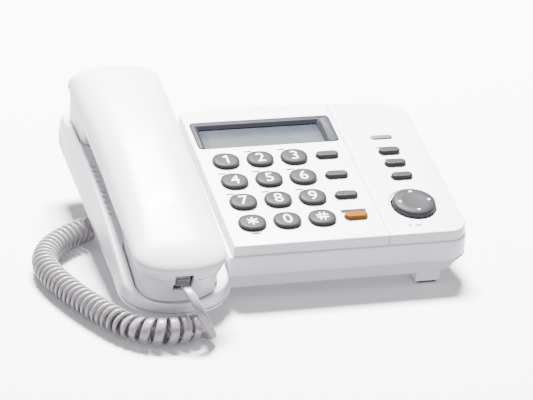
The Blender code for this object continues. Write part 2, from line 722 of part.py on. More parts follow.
def make_navigation_key():
    """A round four-way key on a pivot ring: the ring rocks up and down, the key on it left and right."""
    outer, half = PIVOT_RADIUS, 0.9
    ring = [(outer - 1.4, -half - 0.7), (outer, -half - 0.7), (outer, half), (outer - 1.4, half)]
    pivot = new_object("nav_pivot", turned(ring, 16), DARK, deck_frame, (NAV_X, NAV_Y, NAV_PIVOT_Z))
    eye = [(outer - 2.4, NAV_PIVOT_Z - 3), (outer - 2.4, NAV_PIVOT_Z + 3)]
    cut(pivot, turned(eye, 16, NAV_X, NAV_Y), "eye")
    r = NAV_RADIUS
    low, top = half + GAP, KEY_PROUD - NAV_PIVOT_Z + 0.5
    profile = [(r - 3.0, low), (r, low + 0.2), (r, top - 1.6), (r - 0.35, top - 0.8), (r - 1.6, top - 0.3),
               (r - 4.5, top)]
    new_object("nav_key", turned(profile, 28), GREY, deck_frame, (NAV_X, NAV_Y, NAV_PIVOT_Z))


def window_box():
    x0, y0, x1, y1 = SCREEN
    return x0 - WINDOW_RIM, x1 + WINDOW_RIM, y0 - WINDOW_RIM, y1 + WINDOW_RIM


def make_display():
    x0, y0, x1, y1 = BEZEL
    seat = -BEZEL_DROP + GAP
    levels = ((seat, 0), (0.2, 0), (0.5, 0.5))
    rings = [raise_to(rounded(x0 + g, x1 - g, y0 + g, y1 - g, 2.3, 3), z) for z, g in levels]
    bezel = new_object("display_bezel", loft(rings), FRAME_GREY, deck_frame)
    a, b, c, d = SCREEN
    levels = ((seat - 1, 0), (-0.3, 0), (1.0, 2.4))
    rings = [raise_to(rounded(a - g, c + g, b - g, d + g, 0.8, 2), z) for z, g in levels]
    cut(bezel, loft(rings), "opening")

    top = seat - GAP
    new_object("display_window", box(*window_box(), top - WINDOW_THICK, top), WINDOW, deck_frame)
    top -= WINDOW_THICK + GAP
    shape = box(x0 + 3, x1 - 3, y0 + 2, y1 - 2, top - LCD_THICK, top)
    new_object("lcd_module", shape, LCD_GREEN, deck_frame)


def make_indicator():
    x, y, w, d = LENS
    under = -PLATE_SKIN - GAP
    levels = ((under - 0.8, FLANGE), (under, FLANGE), (under, 0), (0.3, 0), (0.7, -0.5))
    rings = [raise_to(pill(w + 2 * g, d + 2 * g, 3), z) for z, g in levels]
    new_object("indicator_lens", loft(rings), LENS_GREY, deck_frame, (x, y, 0))
    top = levels[0][0] - GAP
    profile = [(1.9, BOARD_Z + GAP), (1.9, top - 1.2), (1.4, top - 0.4), (0.6, top)]
    new_object("indicator_lamp", turned(profile, 12), LAMP, deck_frame, (x, y, 0))


def make_electronics():
    mat_top = MAT_Z + MAT_SKIN
    mat = new_object("key_mat", box(*MAT_X, *MAT_Y, MAT_Z, mat_top), SILICONE, deck_frame)
    pip_top = -PLATE_SKIN - GAP - FLANGE_THICK - KEY_TRAVEL - GAP
    places = dial_places() + pill_places() + function_places()
    pips = [turned([(2.6, MAT_Z + 0.3), (2.2, pip_top)], 6, x, y) for _, x, y in places]
    join(mat, joined(pips), "pips")
    cut(mat, turned([(10.5, MAT_Z - 1), (10.5, mat_top + 2)], 20, NAV_X, NAV_Y), "nav_hole")
    cut(mat, turned([(4.2, MAT_Z - 1), (4.2, mat_top + 2)], 12, MIC_X, MIC_Y), "mic_hole")

    low = BOARD_Z - BOARD_THICK
    board = new_object("main_board", box(*BOARD_X, *BOARD_Y, low, BOARD_Z), BOARD_GREEN, deck_frame)
    post_top = NAV_PIVOT_Z - 1.6 - GAP
    join(board, turned([(3.4, BOARD_Z - 0.5), (3.4, post_top)], 12, NAV_X, NAV_Y), "nav_post")
    bay = box(BEZEL[0], BEZEL[2] + 1, BEZEL[1], BOARD_Y[1] + 10, low - 2, BOARD_Z + 2)
    cut(board, bay, "display_bay")
    capsule = [(3.6, BOARD_Z + GAP), (3.6, -PLATE_SKIN - GAP)]
    new_object("base_microphone", turned(capsule, 16, MIC_X, MIC_Y), DARK, deck_frame)


def make_loudspeaker():
    r = SPEAKER_RADIUS
    top = crown(SPEAKER_Y + r) - WALL - GAP
    profile = [(9.0, top - SPEAKER_DEPTH), (9.0, top - 5.5), (r - 2.0, top - 2.5), (r, top - 1.2), (r, top)]
    new_object("loudspeaker", turned(profile, 20, CRADLE_X - 0.6, SPEAKER_Y), DARK, deck_frame)


# ======================================================================= bottom cover
def keel_depth(y):
    """Underside of the bottom cover below the cradle."""
    return PART_LINE - CRADLE_LIP - CRADLE_WEDGE * max(0.0, y - WEDGE_START)


def cradle_keel(inset, floor=0.0, top=PART_LINE - GAP):
    """The bottom cover's wedge under the cradle, deepest at the back."""
    rings = []
    for y in cradle_stations(inset):
        half, low = cradle_half(y, inset) + CRADLE_FLARE, keel_depth(y) + floor
        foot = half - SHELL_STEP
        y -= CRADLE_FLARE * cradle_front_share(y)
        section = ((foot, low), (half, top), (-half, top), (-foot, low))
        rings.append([(CRADLE_X + x, y, z) for x, z in section])
    return loft(rings)


def deep_tub(inset=0.0):
    """The deeper rear part of the bottom cover, which carries the jacks, the cells and the stand."""
    rings = []
    for z, lean in ((TUB_Z + 6, 0.0), (DEEP_Z + inset, DEEP_LEAN)):
        i = inset + lean
        x0, x1 = TUB_LEFT + i, DECK_WIDTH - TUB_TAPER - i
        rings.append(raise_to(rounded(x0, x1, DEEP_Y + i + lean * 2.5, DEEP_BACK - i, 6.0, 3), z))
    return loft(rings)


def front_tub(inset=0.0, top=PART_LINE - GAP):
    rings = []
    rim = LEDGE + DRAFT - SHELL_STEP - inset
    radii = (3.0, CORNER_FRONT - inset, CORNER_BACK - inset, 6.0)
    for z, down in ((top, 0.0), (TUB_Z + inset, 1.0)):
        left = TUB_LEFT + 1.0 + inset + 2 * down
        right = DECK_WIDTH + rim - TUB_TAPER * down
        front = TUB_FRONT_TAPER * down - rim
        back = DECK_DEPTH + BACK_LEDGE + BACK_SLOPE - 3 - inset - 2 * down
        rings.append(raise_to(rounded(left, right, front, back, radii, 4), z))
    return loft(rings)


def battery_box():
    """Inner extents of the cell compartment: x0, x1, y0, y1, floor, ceiling."""
    floor = DEEP_Z + COVER_THICK + GAP
    x1, y1 = BOX_X + CELL_LENGTH + 2.6, BOX_Y + 3 * CELL_PITCH - 0.1
    return BOX_X, x1, BOX_Y, y1, floor, floor + 2 * CELL_RADIUS + 0.8


def cover_plate(grow=0.0, slide=0.0):
    x0, x1, y0, y1, _, _ = battery_box()
    lap = 1.4
    return x0 - lap - grow, x1 + lap + grow, y0 - lap - 0.2 - grow - slide, y1 + lap + grow


def make_bottom_cover():
    lid = PART_LINE - GAP
    cover = new_object("bottom_cover", cradle_keel(SHELL_STEP), WHITE, deck_frame)
    join(cover, front_tub(), "tub")
    join(cover, deep_tub(), "deep_tub")
    for x in (FOOT_LEFT_X, FOOT_RIGHT_X):
        foot = floor_box(x, x + FOOT_WIDTH, FOOT_Y, FOOT_Y + FOOT_DEPTH, PAD + GAP, TUB_Z + 1)
        join(cover, foot, "foot")
    cut(cover, cradle_keel(SHELL_STEP + WALL, WALL, lid + 2), "keel_cavity")
    cut(cover, front_tub(WALL, lid + 2), "cavity")
    cut(cover, deep_tub(WALL), "deep_cavity")

    x0, x1, y0, y1, floor, ceiling = battery_box()
    skin = BOX_SKIN
    cells = box(x0 - skin, x1 + skin, y0 - skin, y1 + skin, DEEP_Z + 1.0, ceiling + skin)
    join(cover, cells, "cell_box")
    a, b, c, d = cover_plate(GAP, COVER_SLIDE)
    join(cover, box(a - 1.5, b + 1.5, c - 1.5, d + 1.0, DEEP_Z + 1.0, floor + 1.6), "cover_bed")
    cut(cover, box(a, b, c, d, DEEP_Z - 1, floor), "cover_seat")
    cut(cover, box(x0, x1, y0, y1, floor - 1, ceiling), "cell_bay")

    x, y, z = BASE_JACK
    w, h = jack_half(CORD_SOCKET, GAP)
    cut(cover, box(x - 3, x + 15, y - w, y + w, z - h, z + h), "cord_jack_hole")
    x, y, z = LINE_JACK
    w, h = jack_half(LINE_SOCKET, GAP)
    cut(cover, box(x - w, x + w, y - 13, y + 8, z - h, z + h), "line_jack_hole")
    for x, y in BOSSES:
        foot = (TUB_Z if y < DEEP_Y else DEEP_Z) + 1
        boss = [(BOSS_RADIUS, foot), (BOSS_RADIUS, BOARD_Z - BOARD_THICK - GAP)]
        join(cover, turned(boss, 10, x, y), "boss")
    x, y = plunger_place()
    bore = PLUNGER_RADIUS - 1.0 + GAP
    join(cover, turned([(bore + 2.3, DEEP_Z + 1), (bore + 2.3, DEEP_Z + 12.6)], 16, x, y), "hook_guide")
    cut(cover, turned([(bore, DEEP_Z + 2), (bore, DEEP_Z + 18.6)], 16, x, y), "hook_guide_bore")


def jack_half(socket, grow=0.0):
    """Half of the width and of the height of the jack round a socket."""
    return [(side + walls) / 2 + grow for side, walls in zip(socket, JACK_WALLS)]


def make_jack(name, centre, direction, socket, depth=12.0):
    """A modular jack: a block with a socket that opens toward direction."""
    dx, dy = direction

    def block(w, h, near, far):
        xs = sorted((dx * near, dx * far)) if dx else (-w, w)
        ys = sorted((dy * near, dy * far)) if dy else (-w, w)
        return box(*xs, *ys, -h, h)

    jack = new_object(name, block(*jack_half(socket), -depth, 0.0), DARK, deck_frame, centre)
    hollow = block(socket[0] / 2, socket[1] / 2, 2.5 - depth, 1.0)
    boolean(jack, "DIFFERENCE", hollow, "socket", centre)


def make_batteries():
    x0, x1, y0, _, floor, _ = battery_box()
    x, z, r = (x0 + x1 - CELL_LENGTH) / 2, floor + CELL_RADIUS + 0.5, CELL_RADIUS
    for i in range(3):
        y = y0 + GAP + r + i * CELL_PITCH
        profile = [(2.6, 0.0), (2.6, 1.2), (r - 0.4, 1.2), (r, 1.7), (r, CELL_LENGTH)]
        cell = new_object("battery_cell_%d" % (i + 1), turned(profile, 16), SLEEVE, deck_frame, (x, y, z))
        cell.rotation_euler = (0, math.pi / 2, 0)
    a, b, c, d = cover_plate()
    cover = new_object("battery_cover", box(a, b, c, d, DEEP_Z, DEEP_Z + COVER_THICK), WHITE, deck_frame)
    middle = (a + b) / 2
    starts = [c + 4 + 2.2 * i for i in range(4)]
    ribs = [box(middle - 8, middle + 8, y, y + 1, DEEP_Z - 1, DEEP_Z + 0.5) for y in starts]
    cut(cover, joined(ribs), "thumb_grip")


def stand_outline():
    y1 = DECK_DEPTH + 11
    return TUB_LEFT + STAND_INSET, DECK_WIDTH - TUB_TAPER - STAND_INSET, y1 - STAND_DEPTH, y1


def under_table_level(height):
    """Everything below a level height above the table, as a block."""
    corners = ((-300, -200), (300, -200), (300, 400), (-300, 400))
    return loft([[world_to_deck(x, y, z) for x, y in corners] for z in (-200, height)])


def make_stand():
    """A three-sided stand under the back, open toward the front, level where it meets the table."""
    x0, x1, y0, y1 = stand_outline()
    t, top = WALL, DEEP_Z - GAP
    inside = [(x0 + t, y0), (x0 + t, y1 - t), (x1 - t, y1 - t), (x1 - t, y0)]
    outline = [(x0, y0), *inside, (x1, y0), (x1, y1), (x0, y1)]
    walls = loft([raise_to(outline, top - 60), raise_to(outline, top - 1.0)])
    stand = new_object("rear_stand", walls, WHITE, deck_frame)
    a, b, c, d = x0 - 0.5, x1 + 0.5, y0 - 0.5, y1 + 0.5
    side, rear = a + 12, d - 9
    flange = [(a, c), (side, c), (side, rear), (b - 12, rear), (b - 12, c), (b, c), (b, d), (a, d)]
    join(stand, loft([raise_to(flange, top - STAND_FLANGE), raise_to(flange, top)]), "flange")
    reach, edge = PAD_SIZE + 2, 0.6
    for name, x in (("left", x0 + edge), ("right", x1 - edge - reach)):
        seat = box(x, x + reach, y1 - edge - reach, y1 - edge, top - 60, top - 10)
        join(stand, seat, "pad_seat_" + name)
    cut(stand, under_table_level(PAD + GAP), "table_level")


def make_pads():
    """Thin rubber pads, level on the table, under the front feet and the stand's back corners."""
    def pad(name, x, y, w, d):
        ring = rounded(x - w / 2, x + w / 2, y - d / 2, y + d / 2, 2.0, 3)
        rings = [[world_to_deck(px, py, z) for px, py in ring] for z in (0.0, PAD)]
        new_object(name, loft(rings), DARK, deck_frame)

    w, d = FOOT_WIDTH, FOOT_DEPTH
    for side, x in (("left", FOOT_LEFT_X), ("right", FOOT_RIGHT_X)):
        pad("front_pad_" + side, x + w / 2, FOOT_Y + d / 2, w - 2, d - 2)
    x0, x1, _, y1 = stand_outline()
    heel = deck_to_world(0, y1, stand_heel_z(y1))
    for side, x in (("left", x0 + PAD_SIZE / 2 + 1), ("right", x1 - PAD_SIZE / 2 - 1)):
        pad("rear_pad_" + side, x, heel.y - PAD_SIZE / 2 - 1.2, PAD_SIZE, PAD_SIZE)


def stand_heel_z(y):
    """Height in the deck's frame of the stand's lower edge at y."""
    return (PAD + GAP - DECK_RISE - y * math.sin(TILT)) / math.cos(TILT)


def make_hook():
    """The hook plunger, held down by the ear cup, and the tab that holds the handset on a wall."""
    top = CUP_DEPTH - GAP
    r = PLUNGER_RADIUS
    flange = top - WELL_SKIN - PLUNGER_TRAVEL - GAP
    profile = [(r - 1, DEEP_Z + 2 + PLUNGER_TRAVEL), (r - 1, flange - 1.2), (r + 1.4, flange - 1.2),
               (r + 1.4, flange), (r, flange), (r, top - 1.0), (r - 1.2, top)]
    new_object("hook_plunger", turned(profile, 16), WHITE, deck_frame, (*plunger_place(), 0))
    w, t, h = TAB
    y = EAR_FRONT - TAB_AHEAD
    shape = box(-w / 2, w / 2, -t / 2, t / 2, crown(y) - h, crown(y))
    new_object("hanger_tab", shape, WHITE, deck_frame, (HANDSET_X, y, 0))


# ======================================================================= handset
def ear_middle():
    return (EAR_FRONT + HANDSET_BACK) / 2 + 0.7


def mouth_middle():
    return (HANDSET_FRONT + MOUTH_BACK) / 2 - 0.25


def sound_holes():
    """Cutters for the holes in the faces of the ear cup and the mouth cup."""
    ring = [math.pi / 3 * i for i in range(6)]
    places = [(HANDSET_X + SOUND_RING * math.cos(a), ear_middle() + SOUND_RING * math.sin(a)) for a in ring]
    places.append((HANDSET_X, ear_middle()))
    places += [(HANDSET_X + 3.2 * i, mouth_middle()) for i in (-1, 0, 1)]
    bore = [(SOUND_HOLE, CUP_DEPTH - 1), (SOUND_HOLE, CUP_DEPTH + 4)]
    return [turned(bore, 6, x, y) for x, y in places]


def make_handset_shell(name, keep_below):
    """Half of the handset's hollow body: what lies above or below its seam."""
    shell = new_object(name, handset_bar(), WHITE, deck_frame)
    join(shell, cup("ear"), "ear_cup")
    join(shell, cup("mouth"), "mouth_cup")
    cut(shell, handset_bar(HANDSET_WALL, 8, (24, 50, 78), 6), "hollow")
    if keep_below:
        for kind in ("ear", "mouth"):
            hollow = cup(kind, -HANDSET_WALL, CUP_DEPTH + HANDSET_WALL, HANDSET_SEAM + 1, 1.0)
            cut(shell, hollow, kind + "_hollow")
        cut(shell, joined(sound_holes()), "sound_holes")
    z0 = HANDSET_SEAM - (GAP / 2 if keep_below else 60)
    z1 = HANDSET_SEAM + (60 if keep_below else GAP / 2)
    cut(shell, box(HANDSET_X - 60, HANDSET_X + 60, HANDSET_FRONT - 30, HANDSET_BACK + 50, z0, z1), "seam")
    x, y, z = HANDSET_JACK
    cut(shell, box(x - 4.9, x + 4.9, y - 9, y + 2, z - 6.2, z + 5.2), "jack_hole")
    w, h = jack_half(CORD_SOCKET, GAP)
    cut(shell, box(x - w, x + w, y - GAP, y + 16, z - h, z + h), "jack_bay")


def make_handset_insides():
    floor = CUP_DEPTH + HANDSET_WALL + GAP
    r, rear, rim, high = RECEIVER
    profile = [(r, floor), (r, floor + rim), (rear, floor + high)]
    new_object("receiver_capsule", turned(profile, 24, HANDSET_X, ear_middle()), DARK, deck_frame)
    r, high = CAPSULE
    profile = [(r, floor), (r, floor + high)]
    new_object("handset_microphone", turned(profile, 16, HANDSET_X, mouth_middle()), DARK, deck_frame)
    w, d, h = BALLAST
    y0, y1 = BALLAST_FRONT, BALLAST_FRONT + d
    low = max(handle_under(y) for y in (y0, (y0 + y1) / 2, y1)) + HANDSET_WALL + GAP
    shape = box(HANDSET_X - w / 2, HANDSET_X + w / 2, y0, y1, low, low + h)
    new_object("handset_weight", shape, STEEL, deck_frame)


# ======================================================================= cord
def smooth_line(points, step):
    """Evenly spaced points, about a step apart, along a Catmull-Rom curve through the given ones."""
    points = [Vector(p) for p in points]
    padded = [2 * points[0] - points[1]] + points + [2 * points[-1] - points[-2]]
    fine = []
    for a, b, c, d in zip(padded, padded[1:], padded[2:], padded[3:]):
        bend, twist = 2 * a - 5 * b + 4 * c - d, 3 * b - 3 * c + d - a
        for i in range(24):
            t = i / 24
            fine.append(0.5 * (2 * b + (c - a) * t + bend * t ** 2 + twist * t ** 3))
    fine.append(points[-1])
    run = np.cumsum([0.0] + [(b - a).length for a, b in zip(fine, fine[1:])])
    places = np.linspace(0.0, run[-1], max(1, round(run[-1] / step)) + 1)
    columns = [np.interp(places, run, [p[k] for p in fine]) for k in range(3)]
    return [Vector([float(v) for v in point]) for point in zip(*columns)]


def share(value, start, end):
    """From 0 at start to 1 at end, eased."""
    t = min(1.0, max(0.0, (value - start) / (end - start)))
    return t * t * (3 - 2 * t)


def helix():
    """Centre points of the curls with the direction of the flat cord's width at each."""
    axis = smooth_line([(x, y, COIL_WIDTH / 2 + 0.1) for x, y in COIL_AXIS], 0.25)
    step = (axis[1] - axis[0]).length
    length = step * (len(axis) - 1)
    upward = Vector((0, 0, 1))
    centres, widths = [], []
    place, turn = 0.0, 0.0
    while place < length:
        i = min(len(axis) - 2, int(place / step))
        along = (axis[min(i + 8, len(axis) - 1)] - axis[max(i - 8, 0)]).normalized()
        centre = axis[i].lerp(axis[i + 1], place / step - i)
        opening = share(place, length - OPEN_REACH, length - OPEN_REACH / 3)
        tilt = math.radians(TILT_CLOSE * (1 - opening))
        radius = COIL_WIDTH / 2 - (CORD_WIDTH / 2 * math.sin(tilt) + CORD_THICK / 2 * math.cos(tilt))
        out = upward.cross(along) * math.cos(turn) + upward * math.sin(turn)
        centres.append(centre + out * radius)
        widths.append(along * math.cos(tilt) + out * math.sin(tilt))
        turn -= 2 * math.pi / CURL_POINTS
        place += (CURL_STEP + (CURL_STEP_OPEN - CURL_STEP) * opening) / CURL_POINTS
    return centres, widths


def collar_face(jack):
    """How far in front of a jack's face its plug's collar ends."""
    return {HANDSET_JACK: 3.6, BASE_JACK: 8.8}[jack]


def whole_cord():
    """The cord from the base's plug to the handset's: centres and width directions."""
    centres, widths = helix()
    x, y, z = BASE_JACK
    start = deck_to_world(x - collar_face(BASE_JACK) - GAP, y, z)
    x, y, z = HANDSET_JACK
    end = deck_to_world(x, y - collar_face(HANDSET_JACK) - GAP, z)
    leaving = deck_to_world(0, -1, 0) - deck_to_world(0, 0, 0)
    off_base = start + Vector((-CORD_WIDTH * 0.8, 0, 0))
    tail = smooth_line([start, off_base, *TAIL, centres[0]], CORD_WIDTH * 0.6)[:-1]
    lead = smooth_line([centres[-1], *LEAD, end + leaving * CORD_WIDTH * 0.9, end], CORD_WIDTH * 0.5)[1:]
    first, last = Vector((0, 1, 0)), Vector((1, 0, 0))
    n, m = len(tail), len(lead)
    before = [first.lerp(widths[0], share(i, n * 0.3, n)) for i in range(n)]
    after = [widths[-1].lerp(last, share(i, 0, m * 0.5)) for i in range(m)]
    return tail + centres + lead, before + widths + after


def cord_rings(centres, widths):
    section = ((1, 0), (0.62, 0.5), (-0.62, 0.5), (-1, 0), (-0.62, -0.5), (0.62, -0.5))
    rings = []
    for i, (centre, width) in enumerate(zip(centres, widths)):
        ahead = (centres[min(i + 1, len(centres) - 1)] - centres[max(i - 1, 0)]).normalized()
        width = (width - ahead * width.dot(ahead)).normalized()
        thick = ahead.cross(width)
        half = CORD_WIDTH / 2
        rings.append([centre + width * across * half + thick * up * CORD_THICK for across, up in section])
    return rings


def least_gap(rings):
    """Least distance between points of the cord's surface that lie more than half a curl apart along it."""
    sides = len(rings[0])
    tree = KDTree(len(rings) * sides)
    for i, ring in enumerate(rings):
        for j, point in enumerate(ring):
            tree.insert(point, i * sides + j)
    tree.balance()
    least = CORD_WIDTH
    for i, ring in enumerate(rings):
        for point in ring:
            for _, index, distance in tree.find_range(point, least):
                if abs(index // sides - i) > CURL_POINTS // 2:
                    least = min(least, distance)
    return least


def make_cord():
    centres, widths = whole_cord()
    rings = cord_rings(centres, widths)
    cut_at = max(i for i, c in enumerate(centres) if c.z < LEAD_CUT)
    ahead = (centres[cut_at + 1] - centres[cut_at]).normalized()
    part = [point + ahead * GAP for point in rings[cut_at]]
    new_object("curly_cord", loft(rings[:cut_at + 1]), JACKET, phone)
    new_object("handset_cord_lead", loft([part] + rings[cut_at + 1:]), JACKET, phone)
    length = sum((b - a).length for a, b in zip(centres, centres[1:]))
    facts = length, len(helix()[0]) / CURL_POINTS, least_gap(rings)
    print("cord length %.0f mm, %.1f curls, least gap to itself %.2f mm" % facts)


def make_plugs():
    """The two plugs of the curly cord, each in its socket with a collar for the cord."""
    w, h = PLUG[0] / 2, PLUG[1] / 2
    cw, ch = w - COLLAR_STEP[0], h - COLLAR_STEP[1]
    x, y, z = HANDSET_JACK
    face = y - collar_face(HANDSET_JACK)
    body = box(x - w, x + w, y - 2.0, y + PLUG_DEPTH, z - h, z + h)
    plug = new_object("handset_plug", body, CLEAR, deck_frame)
    join(plug, box(x - cw, x + cw, face, y - 1.0, z - ch, z + ch), "collar")
    x, y, z = BASE_JACK
    face = x - collar_face(BASE_JACK)
    body = box(x - 6.0, x + PLUG_DEPTH, y - w, y + w, z - h, z + h)
    plug = new_object("base_plug", body, CLEAR, deck_frame)
    join(plug, box(face, x - 5.0, y - cw, y + cw, z - ch, z + ch), "collar")


def centre_on_footprint():
    """Moves the phone so that the middle of its footprint, cord left out, is at the world's origin."""
    bpy.context.view_layer.update()
    graph = bpy.context.evaluated_depsgraph_get()
    points = []
    for obj in bpy.context.scene.objects:
        if obj.type == "MESH" and not obj.hide_render and obj.name not in CORD_PIECES:
            shape = obj.evaluated_get(graph)
            points += [shape.matrix_world @ vertex.co for vertex in shape.to_mesh().vertices]
            shape.to_mesh_clear()
    lows = [min(p[i] for p in points) for i in range(3)]
    highs = [max(p[i] for p in points) for i in range(3)]
    phone.location -= Vector(((lows[0] + highs[0]) / 2, (lows[1] + highs[1]) / 2, lows[2]))


# ======================================================================= build
clear_scene()
phone = bpy.data.objects.new("phone", None)
bpy.context.collection.objects.link(phone)
deck_frame = bpy.data.objects.new("deck_frame", None)
bpy.context.collection.objects.link(deck_frame)
deck_frame.parent = phone
deck_frame.rotation_euler = (TILT, 0, 0)
deck_frame.location = (0, 0, DECK_RISE * MM)

make_top_housing()
make_plates()
make_keys()
make_navigation_key()
make_display()
make_indicator()
make_electronics()
make_loudspeaker()
make_bottom_cover()
make_jack("base_cord_jack", BASE_JACK, (-1, 0), CORD_SOCKET)
make_jack("line_jack", LINE_JACK, (0, 1), LINE_SOCKET)
make_batteries()
make_stand()
make_pads()
make_hook()
make_handset_shell("handset_back_shell", False)
make_handset_shell("handset_front_shell", True)
make_jack("handset_jack", HANDSET_JACK, (0, -1), CORD_SOCKET, 13.0)
make_handset_insides()
make_plugs()
make_cord()
centre_on_footprint()
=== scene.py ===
"""The looks of a white corded desk telephone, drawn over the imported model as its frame.

Lengths are in millimetres and become metres in each mesh. The camera, lights, floor and materials are in
metres. Most pieces are drawn in the deck's frame: x across, y up the deck, z off it. The forms are those of
the model's source, drawn with finer steps.
"""
import json
import math

import bmesh
import bpy
import numpy as np
from mathutils import Matrix, Vector


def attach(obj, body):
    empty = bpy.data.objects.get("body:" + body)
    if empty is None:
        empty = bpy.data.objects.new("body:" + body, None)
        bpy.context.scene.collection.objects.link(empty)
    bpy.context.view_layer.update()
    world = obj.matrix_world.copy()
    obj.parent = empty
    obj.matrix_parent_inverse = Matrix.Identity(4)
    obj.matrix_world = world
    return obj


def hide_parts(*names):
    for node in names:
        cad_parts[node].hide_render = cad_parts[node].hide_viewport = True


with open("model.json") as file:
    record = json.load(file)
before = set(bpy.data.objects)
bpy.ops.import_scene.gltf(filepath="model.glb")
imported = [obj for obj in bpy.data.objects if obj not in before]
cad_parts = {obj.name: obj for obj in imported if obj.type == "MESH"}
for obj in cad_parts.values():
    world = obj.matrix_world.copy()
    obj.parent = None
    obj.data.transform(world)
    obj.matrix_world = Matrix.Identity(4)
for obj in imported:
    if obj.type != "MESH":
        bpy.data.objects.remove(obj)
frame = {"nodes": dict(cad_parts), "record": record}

MM = 0.001
CUT, ADD = "DIFFERENCE", "UNION"
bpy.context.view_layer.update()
nodes = frame["nodes"]

# ------------------------ the deck's frame, as in the model's source
TILT = math.radians(12.0)
DECK_RISE = 32.4
SHIFT = Vector((-35.4058, -64.0586, 0.0))
GAP = 0.3
DECK = Matrix.Translation((SHIFT + Vector((0, 0, DECK_RISE))) * MM) @ Matrix.Rotation(TILT, 4, "X")
TABLE = Matrix.Translation(SHIFT * MM)

# ------------------------ sizes, as in the model's source
DECK_WIDTH, DECK_DEPTH = 131.8, 128.0
DECK_BOW, DECK_BOW_CREST, DECK_BOW_REACH = 5.0, 50.0, 80.0
SEAM = 86.4
PLATE_HEIGHT, PLATE_SKIN = 6.0, 2.0
LEDGE, VALLEY = 1.5, 2.6
CORNER_FRONT, CORNER_BACK = 12.0, 14.0
PART_LINE, DRAFT = -17.9, 1.2
BACK_SLOPE, BACK_LEDGE = 13.0, 6.0
TRAY_INSET, WALL, WELL_SKIN = 3.6, 2.2, 1.8
CRADLE_X, CRADLE_WIDTH = -33.4, 57.2
CRADLE_FRONT, CRADLE_NOSE, CRADLE_BACK, CRADLE_BACK_CORNER = -28.4, 21.0, 157.0, 9.0
CREST_Y, CREST_Z, ARCH_RADIUS = 60.0, -4.5, 455.0
RIM_ROUND, CRADLE_FLARE = 1.6, 1.7
GRILLE_INSET, GRILLE_Y = 4.8, (43.0, 90.0)
GRILLE_COLUMNS, GRILLE_ROWS, GRILLE_STEP = 3, 10, 4.2
SLOT, SLOT_LEAN = (2.9, 1.3), -1.5
HANDSET_X, HANDSET_WIDTH = -34.2, 50.0
HANDSET_FRONT, HANDSET_BACK = -30.5, 152.6
EAR_SPREAD, HANDSET_NOSE, HANDSET_HEEL = 1.2, 18.5, 14.0
HANDSET_CREST_Y, HANDSET_SAG, HANDSET_MID = 85.0, 0.0008, 8.5
HANDLE_UNDER, HANDLE_ARCH, HANDLE_TAPER = 1.6, 2.2, 0.91
HANDSET_SEAM, HANDSET_WALL = 4.0, 2.0
CUP_DEPTH, CUP_CLEAR = -14.3, 0.8
EAR_FRONT, EAR_HALF, MOUTH_BACK, MOUTH_HALF = 108.0, 24.4, 23.0, 22.2
EAR_MIDDLE, MOUTH_MIDDLE = 131.0, -4.0
PLUNGER = (HANDSET_X + 10.2, HANDSET_BACK - 26.6)
PLUNGER_RADIUS = 4.0
TAB, TAB_AHEAD = (11.0, 3.0), 6.6
KEY_X, KEY_Y, PITCH_X, PITCH_Y = SEAM * 0.169, DECK_DEPTH * 0.596, SEAM * 0.2257, DECK_DEPTH * 0.1492
DIAL_KEY, DIAL_POWER, PILL_KEY, FUNCTION_KEY = (14.8, 13.0), 2.3, (12.8, 5.2), (12.0, 5.0)
PILL_X = KEY_X + 3 * PITCH_X - 0.4
FUNCTION_MIDDLE = (SEAM + DECK_WIDTH) / 2
FUNCTION_X = FUNCTION_MIDDLE - 0.1
FUNCTION_Y = (DECK_DEPTH * 0.595, DECK_DEPTH * 0.504, DECK_DEPTH * 0.407)
KEY_PROUD, FLANGE, FLANGE_THICK = 2.1, 1.1, 1.0
NAV_X, NAV_Y = FUNCTION_MIDDLE - 1.1, DECK_DEPTH * 0.20625
NAV_RADIUS, NAV_TRAY, NAV_PIVOT_Z = 12.0, 28.6, -3.4
MIC_X, MIC_Y = NAV_X - 8.0, 8.0
BEZEL = (2.9, DECK_DEPTH - 38.1, SEAM - 2.4, DECK_DEPTH - 12.9)
SCREEN = (6.8, DECK_DEPTH - 36.8, SEAM - 10.0, DECK_DEPTH - 18.4)
BEZEL_DROP, BEZEL_LIP, WINDOW_RIM = 1.6, 1.4, 0.9
LENS = (FUNCTION_MIDDLE - 0.3, DECK_DEPTH - 37.7, 12.3, 3.6)
MAT = (5.0 - GAP, DECK_WIDTH - 7.8 + GAP, 7.0 - GAP, BEZEL[1] - 4.9 + GAP, -7.4, -5.3)
TUB_LEFT, TUB_Z, DEEP_Z = -37.0, -26.9, -38.6
BOSSES = ((10.0, 12.0), (DECK_WIDTH - 13.8, 12.0), (DECK_WIDTH - 13.8, 60.0), (10.0, 60.0))
BASE_JACK = (TUB_LEFT + 1.0, 104.0, DEEP_Z + 6.2)
LINE_JACK = (98.0, DECK_DEPTH + 21.0 - 1.4, DEEP_Z + 7.6)
HANDSET_JACK = (HANDSET_X - 0.8, HANDSET_FRONT + 5.0, 2.0)
PLUG_HEIGHT = 6.6
CORD_WIDTH, CORD_THICK, COIL_WIDTH = 4.8, 2.1, 15.2
CURL_STEP, CURL_STEP_OPEN, TILT_CLOSE, OPEN_REACH = 4.1, 6.2, 66.0, 60.0
BASE_COLLAR, HANDSET_COLLAR = 8.8, 3.6  # from each jack's point to the end of its plug's collar
LEAD_CUT = 9.0  # the cord rides on the handset from this height up
COIL_AXIS = (
    (-56.1, 89.4), (-64.8, 84.3), (-73.0, 78.6), (-80.8, 71.2), (-87.2, 62.2), (-91.0, 52.0),
    (-91.9, 41.5), (-90.0, 29.5), (-86.0, 14.6), (-80.6, -0.6), (-74.0, -15.4), (-66.8, -29.4),
    (-58.8, -38.2), (-49.4, -42.0), (-40.4, -41.4), (-33.4, -39.3), (-27.4, -37.2),
)
